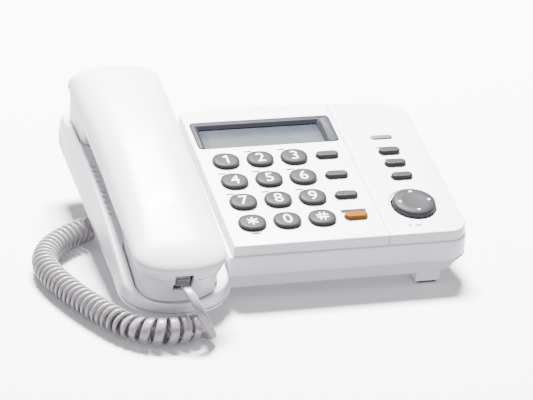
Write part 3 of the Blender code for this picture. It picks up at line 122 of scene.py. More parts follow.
LEAD = (
    (-21.8, -42.9, 1.9), (-23.2, -46.4, 5.2), (-26.0, -47.8, 11.4), (-29.4, -46.8, 18.2),
    (-32.6, -42.9, 24.6), (-34.6, -37.2, 28.2),
)
TAIL = (
    (-50.2, 108.3, 22.3), (-53.0, 105.8, 21.9), (-54.0, 100.0, 20.3), (-53.7, 93.0, 17.6),
    (-53.4, 87.6, 13.8),
)

# ------------------------ sizes unlike the model's source
HANDSET_TOP = 24.85  # crest of the handset's back, 0.15 lower to keep the finer form in the solid's box
CURL_INSET = 0.12  # off the curls' radius, to the same end
COIL_SHIFT = (0.36, 0.16)  # of the curls' axis, to the same end
CURL_POINTS = 18  # on one curl, twice as many

# ------------------------ sections, openings and prints
CORD_SIDES, CORD_POWER, DIAL_POINTS = 14, 0.62, 64
EAR_SPREAD_FROM, EAR_SPREAD_REACH = 60.0, 60.0
NOSE_POWER, BACK_POWER, SECTION_POWER, MOUTH_POWER, CRADLE_POWER = 2.5, 2.3, 0.8, 0.88, 2.15
FINE_TURN = (*range(5, 85, 5), 84)  # degrees round the handset's ends
SOUND_HOLE, SOUND_RING, SOUND_STEP = 0.9, 6.0, 3.2
JACK_WINDOW = (4.9, 6.2, 5.2)  # half its width, and its reach below and above the jack's point
JACK_POCKET = (6.65, 16.0, 5.1)  # half its width, its depth and half its height
KEY_SHARES = (0.0, 0.015, 0.04, 0.07, 0.11, 0.16, 0.22, 0.32, 0.46, 0.64, 0.85)
NAV_ROUND = (
    (0.0, 1.7), (0.04, 1.4), (0.16, 1.1), (0.4, 0.78), (0.8, 0.5), (1.5, 0.28), (2.4, 0.12), (3.4, 0.04),
    (4.5, 0.0), (5.6, 0.03), (7.0, 0.12), (9.0, 0.2),
)  # in from the rim and down from the top
PRINT_SINK, PRINT_PROUD = 0.12, 0.03  # what is printed on a key, about its top
FILM = (-0.06, 0.04)  # bottom and top of what is printed on a plate
DIGIT_SIZE, STAR_REACH, STAR_HALF = 10.8, 3.3, 0.5
HASH_REACH, HASH_SPACING, HASH_LEAN, HASH_STROKE = 3.0, (1.15, 1.1), 0.35, 0.9
ONE = ((1.1, -3.6), (1.1, 3.6), (0.1, 3.6), (-1.7, 2.4), (-1.2, 1.6), (0.0, 2.2), (0.0, -3.6))
CAPTION, MIC_HOLE = 1.15, 0.8
PLUG_CONTACTS, LINE_CONTACTS = (-1.8, -0.6, 0.6, 1.8), (-1.5, -0.5, 0.5, 1.5)


def link(name, mesh):
    obj = bpy.data.objects.new(name, mesh)
    bpy.context.scene.collection.objects.link(obj)
    return obj


# ======================== camera, light and floor
def make_camera():
    camera = link("camera", bpy.data.cameras.new("camera"))
    camera.location = (-0.405016, -1.313942, 0.63877)
    camera.rotation_euler = [math.radians(a) for a in (66.04148, -2.88079, -15.86782)]
    camera.data.lens = 184.3611
    camera.data.sensor_width = 36.0
    camera.data.clip_start = 0.05
    bpy.context.scene.camera = camera


def area_light(name, place, target, size, power, colour):
    light = bpy.data.lights.new(name, "AREA")
    light.shape = "RECTANGLE"
    light.size, light.size_y = size
    light.energy = power
    light.color = colour
    obj = link(name, light)
    obj.location = place
    obj.rotation_euler = (Vector(target) - Vector(place)).to_track_quat("-Z", "Y").to_euler()


def make_light():
    middle, cool = (0.0, 0.0, 0.03), (0.945, 0.935, 1.0)
    area_light("top_softbox", (0.10, 0.76, 1.48), middle, (0.7, 0.4), 310.0, (1.0, 0.995, 0.99))
    area_light("front_fill", (0.35, -1.9, 0.25), middle, (1.2, 0.4), 21.0, cool)
    area_light("left_fill", (-1.6, -0.7, 0.25), middle, (1.0, 0.4), 6.0, (0.935, 0.925, 1.0))
    world = bpy.data.worlds.new("studio")
    bpy.context.scene.world = world
    world.use_nodes = True
    background = world.node_tree.nodes["Background"]
    background.inputs["Color"].default_value = (*cool, 1)
    background.inputs["Strength"].default_value = 0.6


def make_floor():
    """The floor lies a little low, so that the feet's faces don't coincide with it."""
    floor = link("floor", bpy.data.meshes.new("floor"))
    bm = bmesh.new()
    bmesh.ops.create_grid(bm, x_segments=1, y_segments=1, size=6.0)
    bm.to_mesh(floor.data)
    bm.free()
    look = Material("floor", 0.7, Specular_IOR_Level=0.15)
    look.paint(look.ramp(look.noise(3.0, 2.0), (0.3, (0.925, 0.925, 0.93)), (0.7, (0.935, 0.935, 0.935))))
    floor.data.materials.append(look.mat)
    floor.location.z = -0.0003
    floor.visible_diffuse = False


# ======================== materials
class Material:
    """A Principled material with short calls for its nodes."""

    def __init__(self, name, roughness=0.4, **sockets):
        self.mat = bpy.data.materials.new(name)
        self.mat.use_nodes = True
        self.tree = self.mat.node_tree
        self.shader = self.tree.nodes["Principled BSDF"]
        self.shader.inputs["Roughness"].default_value = roughness
        for key, value in sockets.items():
            self.shader.inputs[key.replace("_", " ")].default_value = value
        self.place = self.node("ShaderNodeTexCoord").outputs["Object"]

    def node(self, kind, **values):
        made = self.tree.nodes.new(kind)
        for key, value in values.items():
            if hasattr(made, key):
                setattr(made, key, value)
            else:
                made.inputs[key.replace("_", " ")].default_value = value
        return made

    def join(self, source, target):
        self.tree.links.new(source, target)

    def noise(self, scale, detail=3.0, roughness=0.55):
        noise = self.node("ShaderNodeTexNoise", Scale=scale, Detail=detail, Roughness=roughness)
        self.join(self.place, noise.inputs["Vector"])
        return noise.outputs["Fac"]

    def ramp(self, value, *stops):
        ramp = self.node("ShaderNodeValToRGB")
        elements = ramp.color_ramp.elements
        while len(elements) < len(stops):
            elements.new(0.5)
        for element, (place, colour) in zip(elements, stops):
            element.position = place
            element.color = (*colour, 1)
        self.join(value, ramp.inputs["Fac"])
        return ramp.outputs["Color"]

    def along(self, start, end):
        """From 0 to 1 between two points of the model, in the deck's frame."""
        a, b = DECK @ (Vector(start) * MM), DECK @ (Vector(end) * MM)
        way = (b - a) / (b - a).length_squared
        dot = self.node("ShaderNodeVectorMath", operation="DOT_PRODUCT")
        self.join(self.place, dot.inputs[0])
        dot.inputs[1].default_value = way
        shifted = self.node("ShaderNodeMath", operation="SUBTRACT")
        self.join(dot.outputs["Value"], shifted.inputs[0])
        shifted.inputs[1].default_value = way.dot(a)
        return shifted.outputs["Value"]

    def paint(self, colours):
        self.join(colours, self.shader.inputs["Base Color"])

    def gloss(self, noise, low, high):
        """Varies the roughness between two values with a noise."""
        ranged = self.node("ShaderNodeMapRange", From_Min=0.3, From_Max=0.7, To_Min=low, To_Max=high)
        self.join(noise, ranged.inputs["Value"])
        self.join(ranged.outputs["Result"], self.shader.inputs["Roughness"])

    def bump(self, height, strength, distance, edge=0.0):
        bump = self.node("ShaderNodeBump", Strength=strength, Distance=distance)
        self.join(height, bump.inputs["Height"])
        if edge:
            bevel = self.node("ShaderNodeBevel", Radius=edge, samples=4)
            self.join(bevel.outputs["Normal"], bump.inputs["Normal"])
        self.join(bump.outputs["Normal"], self.shader.inputs["Normal"])


def mixed(colour, amount):
    return tuple(min(1.0, c * amount) for c in colour)


def plastic(name, colour, roughness, grain=2600.0, depth=0.00002, strength=0.25, edge=0.0, mottle=0.03,
            **sockets):
    """Moulded plastic: a faint cloudiness in its colour and gloss, and a fine spark-eroded grain."""
    made = Material(name, roughness, **sockets)
    cloud = made.noise(22.0, 4.0)
    made.paint(made.ramp(cloud, (0.3, mixed(colour, 1 - mottle)), (0.7, mixed(colour, 1 + mottle))))
    made.gloss(made.noise(70.0, 2.0), roughness - 0.05, roughness + 0.05)
    made.bump(made.noise(grain, 2.0, 0.7), strength, depth, edge)
    return made.mat


def display_look(name, roughness, **sockets):
    """A display's face: greenish grey, darker and bluer over its upper part as painted shadow and painted
    reflection of its frame, and darker at both sides as painted shadow of the frame.
    """
    made = Material(name, roughness, **sockets)
    up = made.along((0, SCREEN[1], 0), (0, SCREEN[3], 0))
    # greenish grey below, going darker and bluer towards the top: painted shadow and painted reflection of
    # the frame
    tone_and_painted_shade = made.ramp(up, (0.0, (0.088, 0.108, 0.106)), (0.42, (0.076, 0.092, 0.096)),
                       (0.70, (0.044, 0.048, 0.066)), (1.0, (0.031, 0.033, 0.052)))
    right = made.along((SCREEN[0], 0, 0), (SCREEN[2], 0, 0))
    # darker and bluer at the left and right edges: painted shadow of the frame
    sides = made.ramp(right, (0.0, (0.66, 0.66, 0.78)), (0.07, (1.0, 1.0, 1.0)), (0.93, (1.0, 1.0, 1.0)),
                      (1.0, (0.72, 0.72, 0.84)))
    speck = made.ramp(made.noise(900.0, 2.0), (0.35, (0.95, 0.95, 0.95)), (0.65, (1.0, 1.0, 1.0)))
    for factor in (sides, speck):
        both = made.node("ShaderNodeMix", data_type="RGBA", blend_type="MULTIPLY")
        both.inputs["Factor"].default_value = 1.0
        made.join(tone_and_painted_shade, both.inputs["A"])
        made.join(factor, both.inputs["B"])
        tone_and_painted_shade = both.outputs["Result"]
    made.paint(tone_and_painted_shade)
    made.gloss(made.noise(140.0, 2.0), roughness - 0.03, roughness + 0.05)
    return made.mat


def metal(name, colour, roughness):
    """Metal, cloudy in its tone, with a fine rubbed grain."""
    made = Material(name, roughness, Metallic=1.0)
    made.paint(made.ramp(made.noise(40.0), (0.3, mixed(colour, 0.85)), (0.7, mixed(colour, 1.1))))
    made.gloss(made.noise(900.0, 2.0), roughness - 0.08, roughness + 0.08)
    made.bump(made.noise(900.0, 2.0, 0.6), 0.2, 0.00002)
    return made.mat


def board_look():
    """Solder-masked board with copper tracks showing faintly through it."""
    made = Material("board", 0.4)
    tracks = made.node("ShaderNodeTexVoronoi", Scale=260.0, feature="DISTANCE_TO_EDGE")
    made.join(made.place, tracks.inputs["Vector"])
    distance = tracks.outputs["Distance"]
    made.paint(made.ramp(distance, (0.02, (0.02, 0.11, 0.04)), (0.08, (0.01, 0.055, 0.02))))
    made.bump(distance, 0.3, 0.00003)
    return made.mat


def cell_look():
    """A dark sleeve with a lighter band at each end."""
    made = Material("cell_sleeve", 0.3, Coat_Weight=0.4)
    left, length = 25.0, 53.0
    dark, near, far = (0.03, 0.032, 0.04), (0.16, 0.17, 0.2), (0.35, 0.35, 0.36)
    along = made.along((left, 0, 0), (left + length, 0, 0))
    made.paint(made.ramp(along, (0.10, near), (0.11, dark), (0.93, dark), (0.94, far)))
    made.gloss(made.noise(90.0), 0.24, 0.38)
    return made.mat


MATT = 0.05  # specular level of the grey parts, low to match their tones in the photograph
MATT_EDGED = {"edge": 0.0003, "Specular_IOR_Level": MATT}
WHITE = plastic("white_shell", (0.79, 0.765, 0.81), 0.34, edge=0.0005)
KEY_GREY = plastic("key_grey", (0.025, 0.025, 0.028), 0.4, mottle=0.05, **MATT_EDGED)
NAV_GREY = plastic("navigation_grey", (0.028, 0.028, 0.031), 0.4, mottle=0.05, **MATT_EDGED)
ORANGE = plastic("speaker_orange", (0.150, 0.052, 0.004), 0.4, edge=0.0003, Specular_IOR_Level=0.03)
BEZEL_GREY = plastic("display_frame", (0.027, 0.028, 0.034), 0.4, **MATT_EDGED)
DARK = plastic("dark_moulding", (0.02, 0.02, 0.022), 0.45, edge=0.0002, mottle=0.1)
RUBBER = plastic("foot_rubber", (0.03, 0.03, 0.03), 0.75, grain=900.0, depth=0.00005, mottle=0.08)
SILICONE = plastic("key_mat", (0.25, 0.25, 0.26), 0.75, grain=1200.0)
CORD = plastic("cord_jacket", (0.32, 0.30, 0.315), 0.28, grain=1500.0, strength=0.2)
INK = plastic("key_print", (0.75, 0.75, 0.76), 0.5)
GREY_INK = plastic("grey_print", (0.030, 0.030, 0.038), 0.6, Specular_IOR_Level=MATT)
LENS_LOOK = plastic("lens", (0.075, 0.075, 0.092), 0.3, Specular_IOR_Level=0.2)
LAMP = plastic("lamp", (0.5, 0.05, 0.03), 0.25, Coat_Weight=0.5)
CLEAR = plastic("clear_plug", (0.42, 0.42, 0.42), 0.16, grain=300.0, Alpha=0.55, Coat_Weight=0.5)
SPEAKER = plastic("speaker_frame", (0.03, 0.03, 0.033), 0.5, grain=700.0)
STEEL = metal("steel", (0.42, 0.42, 0.43), 0.34)
GOLD = metal("gold_contact", (0.75, 0.52, 0.2), 0.25)
# Both the display and its pane carry the painted shadow and painted reflection of the frame over their upper
# parts and sides.
DISPLAY = display_look("display", 0.35, Specular_IOR_Level=MATT)
PANE = display_look("pane", 0.22, Alpha=0.8, Specular_IOR_Level=0.04)
BOARD = board_look()
CELL = cell_look()


# ======================== outlines and meshes
def arc(cx, cy, radius, start, end, steps):
    angles = [math.radians(start + (end - start) * i / steps) for i in range(steps + 1)]
    return [(cx + radius * math.cos(a), cy + radius * math.sin(a)) for a in angles]


def rounded(x0, x1, y0, y1, radii, steps=12):
    """Outline of a rectangle; radii for its front left, front right, back right and back left corners."""
    if isinstance(radii, (int, float)):
        radii = (radii,) * 4
    a, b, c, d = radii
    return (
        arc(x0 + a, y0 + a, a, 180, 270, steps)
        + arc(x1 - b, y0 + b, b, 270, 360, steps)
        + arc(x1 - c, y1 - c, c, 0, 90, steps)
        + arc(x0 + d, y1 - d, d, 90, 180, steps)
    )


def signed_power(value, power):
    return math.copysign(abs(value) ** power, value)


def superellipse(t, power):
    """Height of a unit superellipse at t, from 1 at its middle to 0 at its end."""
    return max(0.0, 1 - min(1.0, t) ** power) ** (1 / power)


def dial_outline(width, depth, x, y):
    points = []
    for i in range(DIAL_POINTS):
        a = 2 * math.pi * (i + 0.5) / DIAL_POINTS
        px = width / 2 * signed_power(math.cos(a), 2 / DIAL_POWER)
        points.append((x + px, y + depth / 2 * signed_power(math.sin(a), 2 / DIAL_POWER)))
    return points


def pill(width, depth, x, y):
    r = depth / 2
    return arc(x + width / 2 - r, y, r, -90, 90, 20) + arc(x + r - width / 2, y, r, 90, 270, 20)


def raise_to(outline, z):
    return [(x, y, z) for x, y in outline]


def loft(rings, matrix=DECK):
    """A closed mesh through rings of equally many points."""
    bm = bmesh.new()
    rows = [[bm.verts.new(matrix @ (Vector(p) * MM)) for p in ring] for ring in rings]
    count = len(rows[0])
    for low, high in zip(rows, rows[1:]):
        for i in range(count):
            j = (i + 1) % count
            bm.faces.new((low[i], low[j], high[j], high[i]))
    bm.faces.new(rows[0][::-1])
    bm.faces.new(rows[-1])
    bmesh.ops.recalc_face_normals(bm, faces=bm.faces)
    mesh = bpy.data.meshes.new("loft")
    bm.to_mesh(mesh)
    bm.free()
    return mesh


def box(x0, x1, y0, y1, z0, z1):
    corners = ((x0, y0), (x1, y0), (x1, y1), (x0, y1))
    return loft([[(x, y, z) for x, y in corners] for z in (z0, z1)])


def soft_box(x0, x1, y0, y1, z0, z1, r):
    """A box with rounded edges all round."""
    rings = []
    for k in range(9):
        a = math.pi * (k / 8 - 0.5)
        inset = r * (1 - math.cos(a))
        z = (z0 + r if a <= 0 else z1 - r) + r * math.sin(a)
        rings.append(raise_to(rounded(x0 + inset, x1 - inset, y0 + inset, y1 - inset, r * 1.2, 4), z))
    return loft(rings)


def turned(profile, steps, x, y):
    """A round piece about the z axis through (x, y); profile is radius, height pairs from bottom to top."""
    angles = [2 * math.pi * i / steps for i in range(steps)]
    return loft([[(x + r * math.cos(a), y + r * math.sin(a), z) for a in angles] for r, z in profile])


def joined(meshes):
    bm = bmesh.new()
    for mesh in meshes:
        bm.from_mesh(mesh)
        bpy.data.meshes.remove(mesh)
    mesh = bpy.data.meshes.new("joined")
    bm.to_mesh(mesh)
    bm.free()
    return mesh


def shaped(mesh, *steps):
    """A closed mesh after its joins and cuts; steps are pairs of an operation and a closed mesh."""
    obj = link("work", mesh)
    tools = []
    for operation, shape in steps:
        tool = link("tool", shape)
        modifier = obj.modifiers.new("step", "BOOLEAN")
        modifier.operation = operation
        modifier.solver = "EXACT"
        modifier.object = tool
        tools.append(tool)
    graph = bpy.context.evaluated_depsgraph_get()
    result = bpy.data.meshes.new_from_object(obj.evaluated_get(graph))
    for spent in [obj] + tools:
        bpy.data.objects.remove(spent)
    return result


def dress(name, mesh, material, body, replaces=(), angle=38.0):
    """Makes a finished piece with its material and its place in the model."""
    obj = link(name, mesh)
    mesh.materials.clear()
    mesh.materials.append(material)
    mesh.shade_smooth()
    mesh.set_sharp_from_angle(angle=math.radians(angle))
    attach(obj, body)
    if replaces:
        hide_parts(*replaces)
    return obj


# ======================== curly cord
def deck_to_table(x, y, z):
    c, s = math.cos(TILT), math.sin(TILT)
    return Vector((x, y * c - z * s, y * s + z * c + DECK_RISE))


def smooth_line(points, step):
    """Evenly spaced points, about a step apart, along a Catmull-Rom curve through the given ones."""
    points = [Vector(p) for p in points]
    padded = [2 * points[0] - points[1]] + points + [2 * points[-1] - points[-2]]
    fine = []
    parts = 24
    for a, b, c, d in zip(padded, padded[1:], padded[2:], padded[3:]):
        bend, twist = 2 * a - 5 * b + 4 * c - d, 3 * b - 3 * c + d - a
        for i in range(parts):
            t = i / parts
            fine.append(0.5 * (2 * b + (c - a) * t + bend * t ** 2 + twist * t ** 3))
    fine.append(points[-1])
    run = np.cumsum([0.0] + [(b - a).length for a, b in zip(fine, fine[1:])])
    places = np.linspace(0.0, run[-1], max(1, round(run[-1] / step)) + 1)
    columns = [np.interp(places, run, [p[k] for p in fine]) for k in range(3)]
    return [Vector([float(v) for v in point]) for point in zip(*columns)]


def eased(value, start, end):
    """From 0 at the start to 1 at the end, level at both."""
    t = min(1.0, max(0.0, (value - start) / (end - start)))
    return t * t * (3 - 2 * t)


def helix():
    """Centre points of the curls with the direction of the flat cord's width at each."""
    dx, dy = COIL_SHIFT
    axis = smooth_line([(x + dx, y + dy, COIL_WIDTH / 2 + 0.1) for x, y in COIL_AXIS], 0.25)
    step = (axis[1] - axis[0]).length
    length = step * (len(axis) - 1)
    upward = Vector((0, 0, 1))
    centres, widths = [], []
    place, turn = 0.0, 0.0
    while place < length:
        i = min(len(axis) - 2, int(place / step))
        along = (axis[min(i + 8, len(axis) - 1)] - axis[max(i - 8, 0)]).normalized()
        centre = axis[i].lerp(axis[i + 1], place / step - i)
        opening = eased(place, length - OPEN_REACH, length - OPEN_REACH / 3)
        tilt = math.radians(TILT_CLOSE * (1 - opening))
        reach = CORD_WIDTH / 2 * math.sin(tilt) + CORD_THICK / 2 * math.cos(tilt)
        radius = COIL_WIDTH / 2 - reach - CURL_INSET
        out = upward.cross(along) * math.cos(turn) + upward * math.sin(turn)
        centres.append(centre + out * radius)
        widths.append(along * math.cos(tilt) + out * math.sin(tilt))
        turn -= 2 * math.pi / CURL_POINTS
        place += (CURL_STEP + (CURL_STEP_OPEN - CURL_STEP) * opening) / CURL_POINTS
    return centres, widths


def eased_bends(line, middle, reach, passes=16):
    """Rounds the bends of a line near one of its points; its ends stay."""
    for _ in range(passes):
        last = list(line)
        for i in range(max(2, middle - reach), min(len(line) - 2, middle + reach)):
            pull = 0.5 * (1 - ((i - middle) / reach) ** 2)
            line[i] = last[i].lerp((last[i - 1] + last[i + 1]) / 2, pull)
    return line


def whole_cord():
    """Centre points of the tail, the curls and the lead, with the direction of the cord's width at each."""
    centres, widths = helix()
    start = deck_to_table(BASE_JACK[0] - BASE_COLLAR - GAP, BASE_JACK[1], BASE_JACK[2])
    end = deck_to_table(HANDSET_JACK[0], HANDSET_JACK[1] - HANDSET_COLLAR - GAP, HANDSET_JACK[2])
    leaving = deck_to_table(0, -1, 0) - deck_to_table(0, 0, 0)
    off_base = start + Vector((-CORD_WIDTH * 0.8, 0, 0))
    step = CORD_WIDTH / 4
    tail = smooth_line([start, off_base, *TAIL, centres[0]], step)[:-1]
    lead = smooth_line([centres[-1], *LEAD, end + leaving * CORD_WIDTH * 0.9, end], step)[1:]
    first, last = Vector((0, 1, 0)), Vector((1, 0, 0))
    n, m = len(tail), len(lead)
    before = [first.lerp(widths[0], eased(i, n * 0.3, n)) for i in range(n)]
    after = [widths[-1].lerp(last, eased(i, 0, m * 0.5)) for i in range(m)]
    line = tail + centres + lead
    # where the curls meet the tail, off the base, where they meet the lead, and at the handset
    for middle, reach in ((n, 14), (5, 12), (len(line) - m, 16), (len(line) - 8, 14)):
        line = eased_bends(line, middle, reach)
    return line, before + widths + after


def cord_rings(centres, widths):
    """Rounded flat sections across the cord."""
    rings = []
    for i, (centre, width) in enumerate(zip(centres, widths)):
        ahead = (centres[min(i + 1, len(centres) - 1)] - centres[max(i - 1, 0)]).normalized()
        width = (width - ahead * width.dot(ahead)).normalized()
        thick = ahead.cross(width)
        ring = []
        for k in range(CORD_SIDES):
            a = 2 * math.pi * k / CORD_SIDES
            across = signed_power(math.cos(a), CORD_POWER) * CORD_WIDTH / 2
            up = signed_power(math.sin(a), CORD_POWER) * CORD_THICK / 2
            ring.append(centre + width * across + thick * up)
        rings.append(ring)
    return rings


def make_cord():
    centres, widths = whole_cord()
    rings = cord_rings(centres, widths)
    cut_at = max(i for i, c in enumerate(centres) if c.z < LEAD_CUT)
    for name, body, part, line, plug, node in (
        ("coiled_cord", "base", rings[:cut_at + 1], centres[:cut_at + 1], "base_plug", "curly_cord"),
        ("cord_lead", "handset", rings[cut_at:], centres[cut_at:][::-1], "handset_plug", "handset_cord_lead"),
    ):
        piece = dress(name, loft(part, TABLE), CORD, body, (node,), 50)


# ======================== handset
def handset_half(y, inset=0.0):
    spread = EAR_SPREAD * min(1.0, max(0.0, (y - EAR_SPREAD_FROM) / EAR_SPREAD_REACH))
    half = HANDSET_WIDTH / 2 - inset + spread
    nose_y = HANDSET_FRONT + HANDSET_NOSE
    if y < nose_y:
        return half * superellipse((nose_y - y) / (HANDSET_NOSE - inset), NOSE_POWER)
    corner = HANDSET_HEEL / 2
    heel = HANDSET_BACK - inset - corner
    if y > heel:
        return half - corner + math.sqrt(max(0.0, corner ** 2 - (y - heel) ** 2))
    return half


def handset_top(y, inset=0.0):
    crest = HANDSET_TOP - HANDSET_SAG * (y - HANDSET_CREST_Y) ** 2 - inset
    nose_y, heel_y = HANDSET_FRONT + HANDSET_NOSE, HANDSET_BACK - HANDSET_HEEL
    t = max(0.0, (nose_y - y) / (HANDSET_NOSE - inset), (y - heel_y) / (HANDSET_HEEL - inset))
    return HANDSET_MID + (crest - HANDSET_MID) * superellipse(t, BACK_POWER)


def handle_under(y):
    middle, reach = (EAR_FRONT + MOUTH_BACK) / 2, (EAR_FRONT - MOUTH_BACK) / 2
    return HANDLE_UNDER + HANDLE_ARCH * max(0.0, 1 - ((y - middle) / reach) ** 2)


def handset_bar(inset=0.0, steps=44, angles=FINE_TURN, middle=40):
    """The long bar of the handset: a crowned back on a handle with leaning sides."""
    front, back = HANDSET_FRONT + inset, HANDSET_BACK - inset
    nose, heel = HANDSET_FRONT + HANDSET_NOSE, back - HANDSET_HEEL
    stations = [nose - (nose - front) * math.sin(math.radians(a)) for a in angles[::-1]]
    stations += [nose + (heel - nose) * i / middle for i in range(middle + 1)]
    stations += [heel + HANDSET_HEEL * math.sin(math.radians(a)) for a in angles]
    rings = []
    for y in stations:
        half, top, under = handset_half(y, inset), handset_top(y, inset), handle_under(y) + inset
        low = half * HANDLE_TAPER
        r = min(2.5, low * 0.4)
        turn = [math.radians(-90 + 90 * k / 6) for k in range(6)]
        ring = [(low - r + r * math.cos(a), under + r + r * math.sin(a)) for a in turn]
        for i in range(steps + 1):
            a = math.pi * i / steps
            c, s = math.cos(a), math.sin(a)
            x = half * signed_power(c, SECTION_POWER)
            ring.append((x, HANDSET_MID + (top - HANDSET_MID) * s ** SECTION_POWER))
        ring += [(-x, z) for x, z in ring[5::-1]]
        rings.append([(HANDSET_X + x, y, z) for x, z in ring])
    return loft(rings)


def ear_outline(grow, lean, inset):
    """Plan of the ear cup; grow widens it to its well, lean is its draft, and inset rounds its foot."""
    half = EAR_HALF + grow - lean * 0.35 - inset
    front = EAR_FRONT - grow + lean * 1.2 + inset
    back = HANDSET_BACK - 0.4 + grow - lean * 0.35 - inset
    return rounded(-half, half, front, back, (8.0, 8.0, 6.6, 6.6))


def mouth_outline(grow, lean, inset, flare):
    """Plan of the mouth cup, with a round nose; flare spreads its upper edge to meet the bar."""
    half = MOUTH_HALF + grow + flare - lean * 0.6 - inset
    front = HANDSET_FRONT + 0.6 - grow + lean * (2.0 if grow > 0 else 3.2) + inset
    back = MOUTH_BACK + grow - lean - inset
    nose = HANDSET_FRONT + HANDSET_NOSE + 1.0
    outline = []
    for i in range(49):
        a = math.pi * (1 + i / 48)
        c, s = math.cos(a), math.sin(a)
        outline.append((half * signed_power(c, MOUTH_POWER), nose - (nose - front) * abs(s) ** MOUTH_POWER))
    corner = 7.0
    outline += arc(half - corner, back - corner, corner, 0, 90, 12)
    outline += arc(corner - half, back - corner, corner, 90, 180, 12)
    return outline


def cup(kind, grow=0.0, bottom=CUP_DEPTH, top=HANDSET_MID, bottom_round=1.6):
    """The ear or mouth cup, or its well with grow: a drafted plan form down to the cup's face."""
    low = bottom + bottom_round
    levels = [(HANDSET_SEAM, 0.1, 0.0), (CUP_DEPTH * 0.52, 1.1, 0.0)]
    levels = [(top, 0.0, 0.0)] + [level for level in levels if level[0] < top - 0.5]
    for k in range(7):
        a = math.radians(15 * k)
        levels.append((low - bottom_round * math.sin(a), 1.6, bottom_round * (1 - math.cos(a))))
    rings = []
    for z, lean, inset in levels:
        outline = ear_outline(grow, lean, inset)
        if kind == "mouth":
            flare = 1.4 if z == top else 0.6 if z == HANDSET_SEAM else 0.0
            outline = mouth_outline(grow, lean, inset, flare)
        rings.append([(HANDSET_X + x, y, z) for x, y in outline])
    return loft(rings)


def sound_holes():
    """Bores in the faces of both cups: a ring round one in the ear cup, and three in a row."""
    turns = [math.pi / 3 * i for i in range(6)]
    places = [(HANDSET_X + SOUND_RING * math.cos(a), EAR_MIDDLE + SOUND_RING * math.sin(a)) for a in turns]
    places += [(HANDSET_X, EAR_MIDDLE)] + [(HANDSET_X + SOUND_STEP * i, MOUTH_MIDDLE) for i in (-1, 0, 1)]
    bore = [(SOUND_HOLE, CUP_DEPTH - 1), (SOUND_HOLE, CUP_DEPTH + 4)]
    return joined([turned(bore, 20, x, y) for x, y in places])


def make_handset():
    """Both shells are one form cut at the seam, each with its half of the hollow and the jack's opening."""
    far = 60
    x, y, z = HANDSET_JACK
    for name, node, below in (("handset_back_cover", "handset_back_shell", False),
                              ("handset_front_cover", "handset_front_shell", True)):
        steps = [(ADD, cup("ear")), (ADD, cup("mouth"))]
        steps.append((CUT, handset_bar(HANDSET_WALL, 12, (20, 50, 78), 8)))
        if below:
            for kind in ("ear", "mouth"):
                hollow = cup(kind, -HANDSET_WALL, CUP_DEPTH + HANDSET_WALL, HANDSET_SEAM + 1, 1.0)
                steps.append((CUT, hollow))
            steps.append((CUT, sound_holes()))
        z0 = HANDSET_SEAM - (GAP / 2 if below else far)
        z1 = HANDSET_SEAM + (far if below else GAP / 2)
        steps.append((CUT, box(HANDSET_X - far, HANDSET_X + far, -70, 210, z0, z1)))
        half, low, high = JACK_WINDOW
        steps.append((CUT, box(x - half, x + half, y - 9, y + 2, z - low, z + high)))
        half, deep, high = JACK_POCKET
        steps.append((CUT, box(x - half, x + half, y - GAP, y + deep, z - high, z + high)))
        dress(name, shaped(handset_bar(), *steps), WHITE, "handset", (node,))


# ======================== base
def deck_back(x):
    """The back edge of the deck at x; it bows."""
    return DECK_DEPTH - DECK_BOW * ((x - DECK_BOW_CREST) / DECK_BOW_REACH) ** 2


def deck_outline(x0, x1, grow, front_radii, back_radii, back_grow=None):
    """Outline of a face plate or of the housing round it, with the bowed back edge."""
    back_grow = grow if back_grow is None else back_grow
    y0 = -grow
    (fl, fr), (bl, br) = front_radii, back_radii
    points = arc(x0 + fl, y0 + fl, fl, 180, 270, 12) + arc(x1 - fr, y0 + fr, fr, 270, 360, 12)
    y_right = deck_back(x1) + back_grow
    y_left = deck_back(x0) + back_grow
    points += arc(x1 - br, y_right - br, br, 0, 90, 12)
    inner0, inner1 = x0 + bl, x1 - br
    for i in range(1, 20):
        x = inner1 + (inner0 - inner1) * i / 20
        lift = y_right + (y_left - y_right) * i / 20
        points.append((x, max(deck_back(x) + back_grow, lift)))
    points += arc(x0 + bl, y_left - bl, bl, 90, 180, 12)
    return points


def housing_outline(z, inset=0.0):
    """Plan of the housing round the plates at a height; it widens downwards."""
    down = (-PLATE_HEIGHT - GAP - z) / (-PLATE_HEIGHT - GAP - PART_LINE)
    grow = LEDGE + DRAFT * down - inset
    back = BACK_LEDGE + BACK_SLOPE * down - inset
    inner = max(0.4, 1.0 - inset)
    radii = (inner, CORNER_FRONT + 3.0 * down - inset), (inner, CORNER_BACK - inset)
    return deck_outline(-VALLEY + inset, DECK_WIDTH + grow, grow, *radii, back)


def crown(y):
    """Height of the cradle's arched rim at y."""
    return CREST_Z - (y - CREST_Y) ** 2 / (2 * ARCH_RADIUS)


def cradle_half(y, inset=0.0):
    half = CRADLE_WIDTH / 2 - inset
    nose_y = CRADLE_FRONT + CRADLE_NOSE
    if y < nose_y:
        t = min(1.0, (nose_y - y) / (CRADLE_NOSE - inset))
        return half * math.sqrt(max(0.0, 1 - t ** CRADLE_POWER))
    heel = CRADLE_BACK - inset - CRADLE_BACK_CORNER
    if y > heel:
        d = min(CRADLE_BACK_CORNER, y - heel)
        return half - CRADLE_BACK_CORNER + math.sqrt(CRADLE_BACK_CORNER ** 2 - d ** 2)
    return half


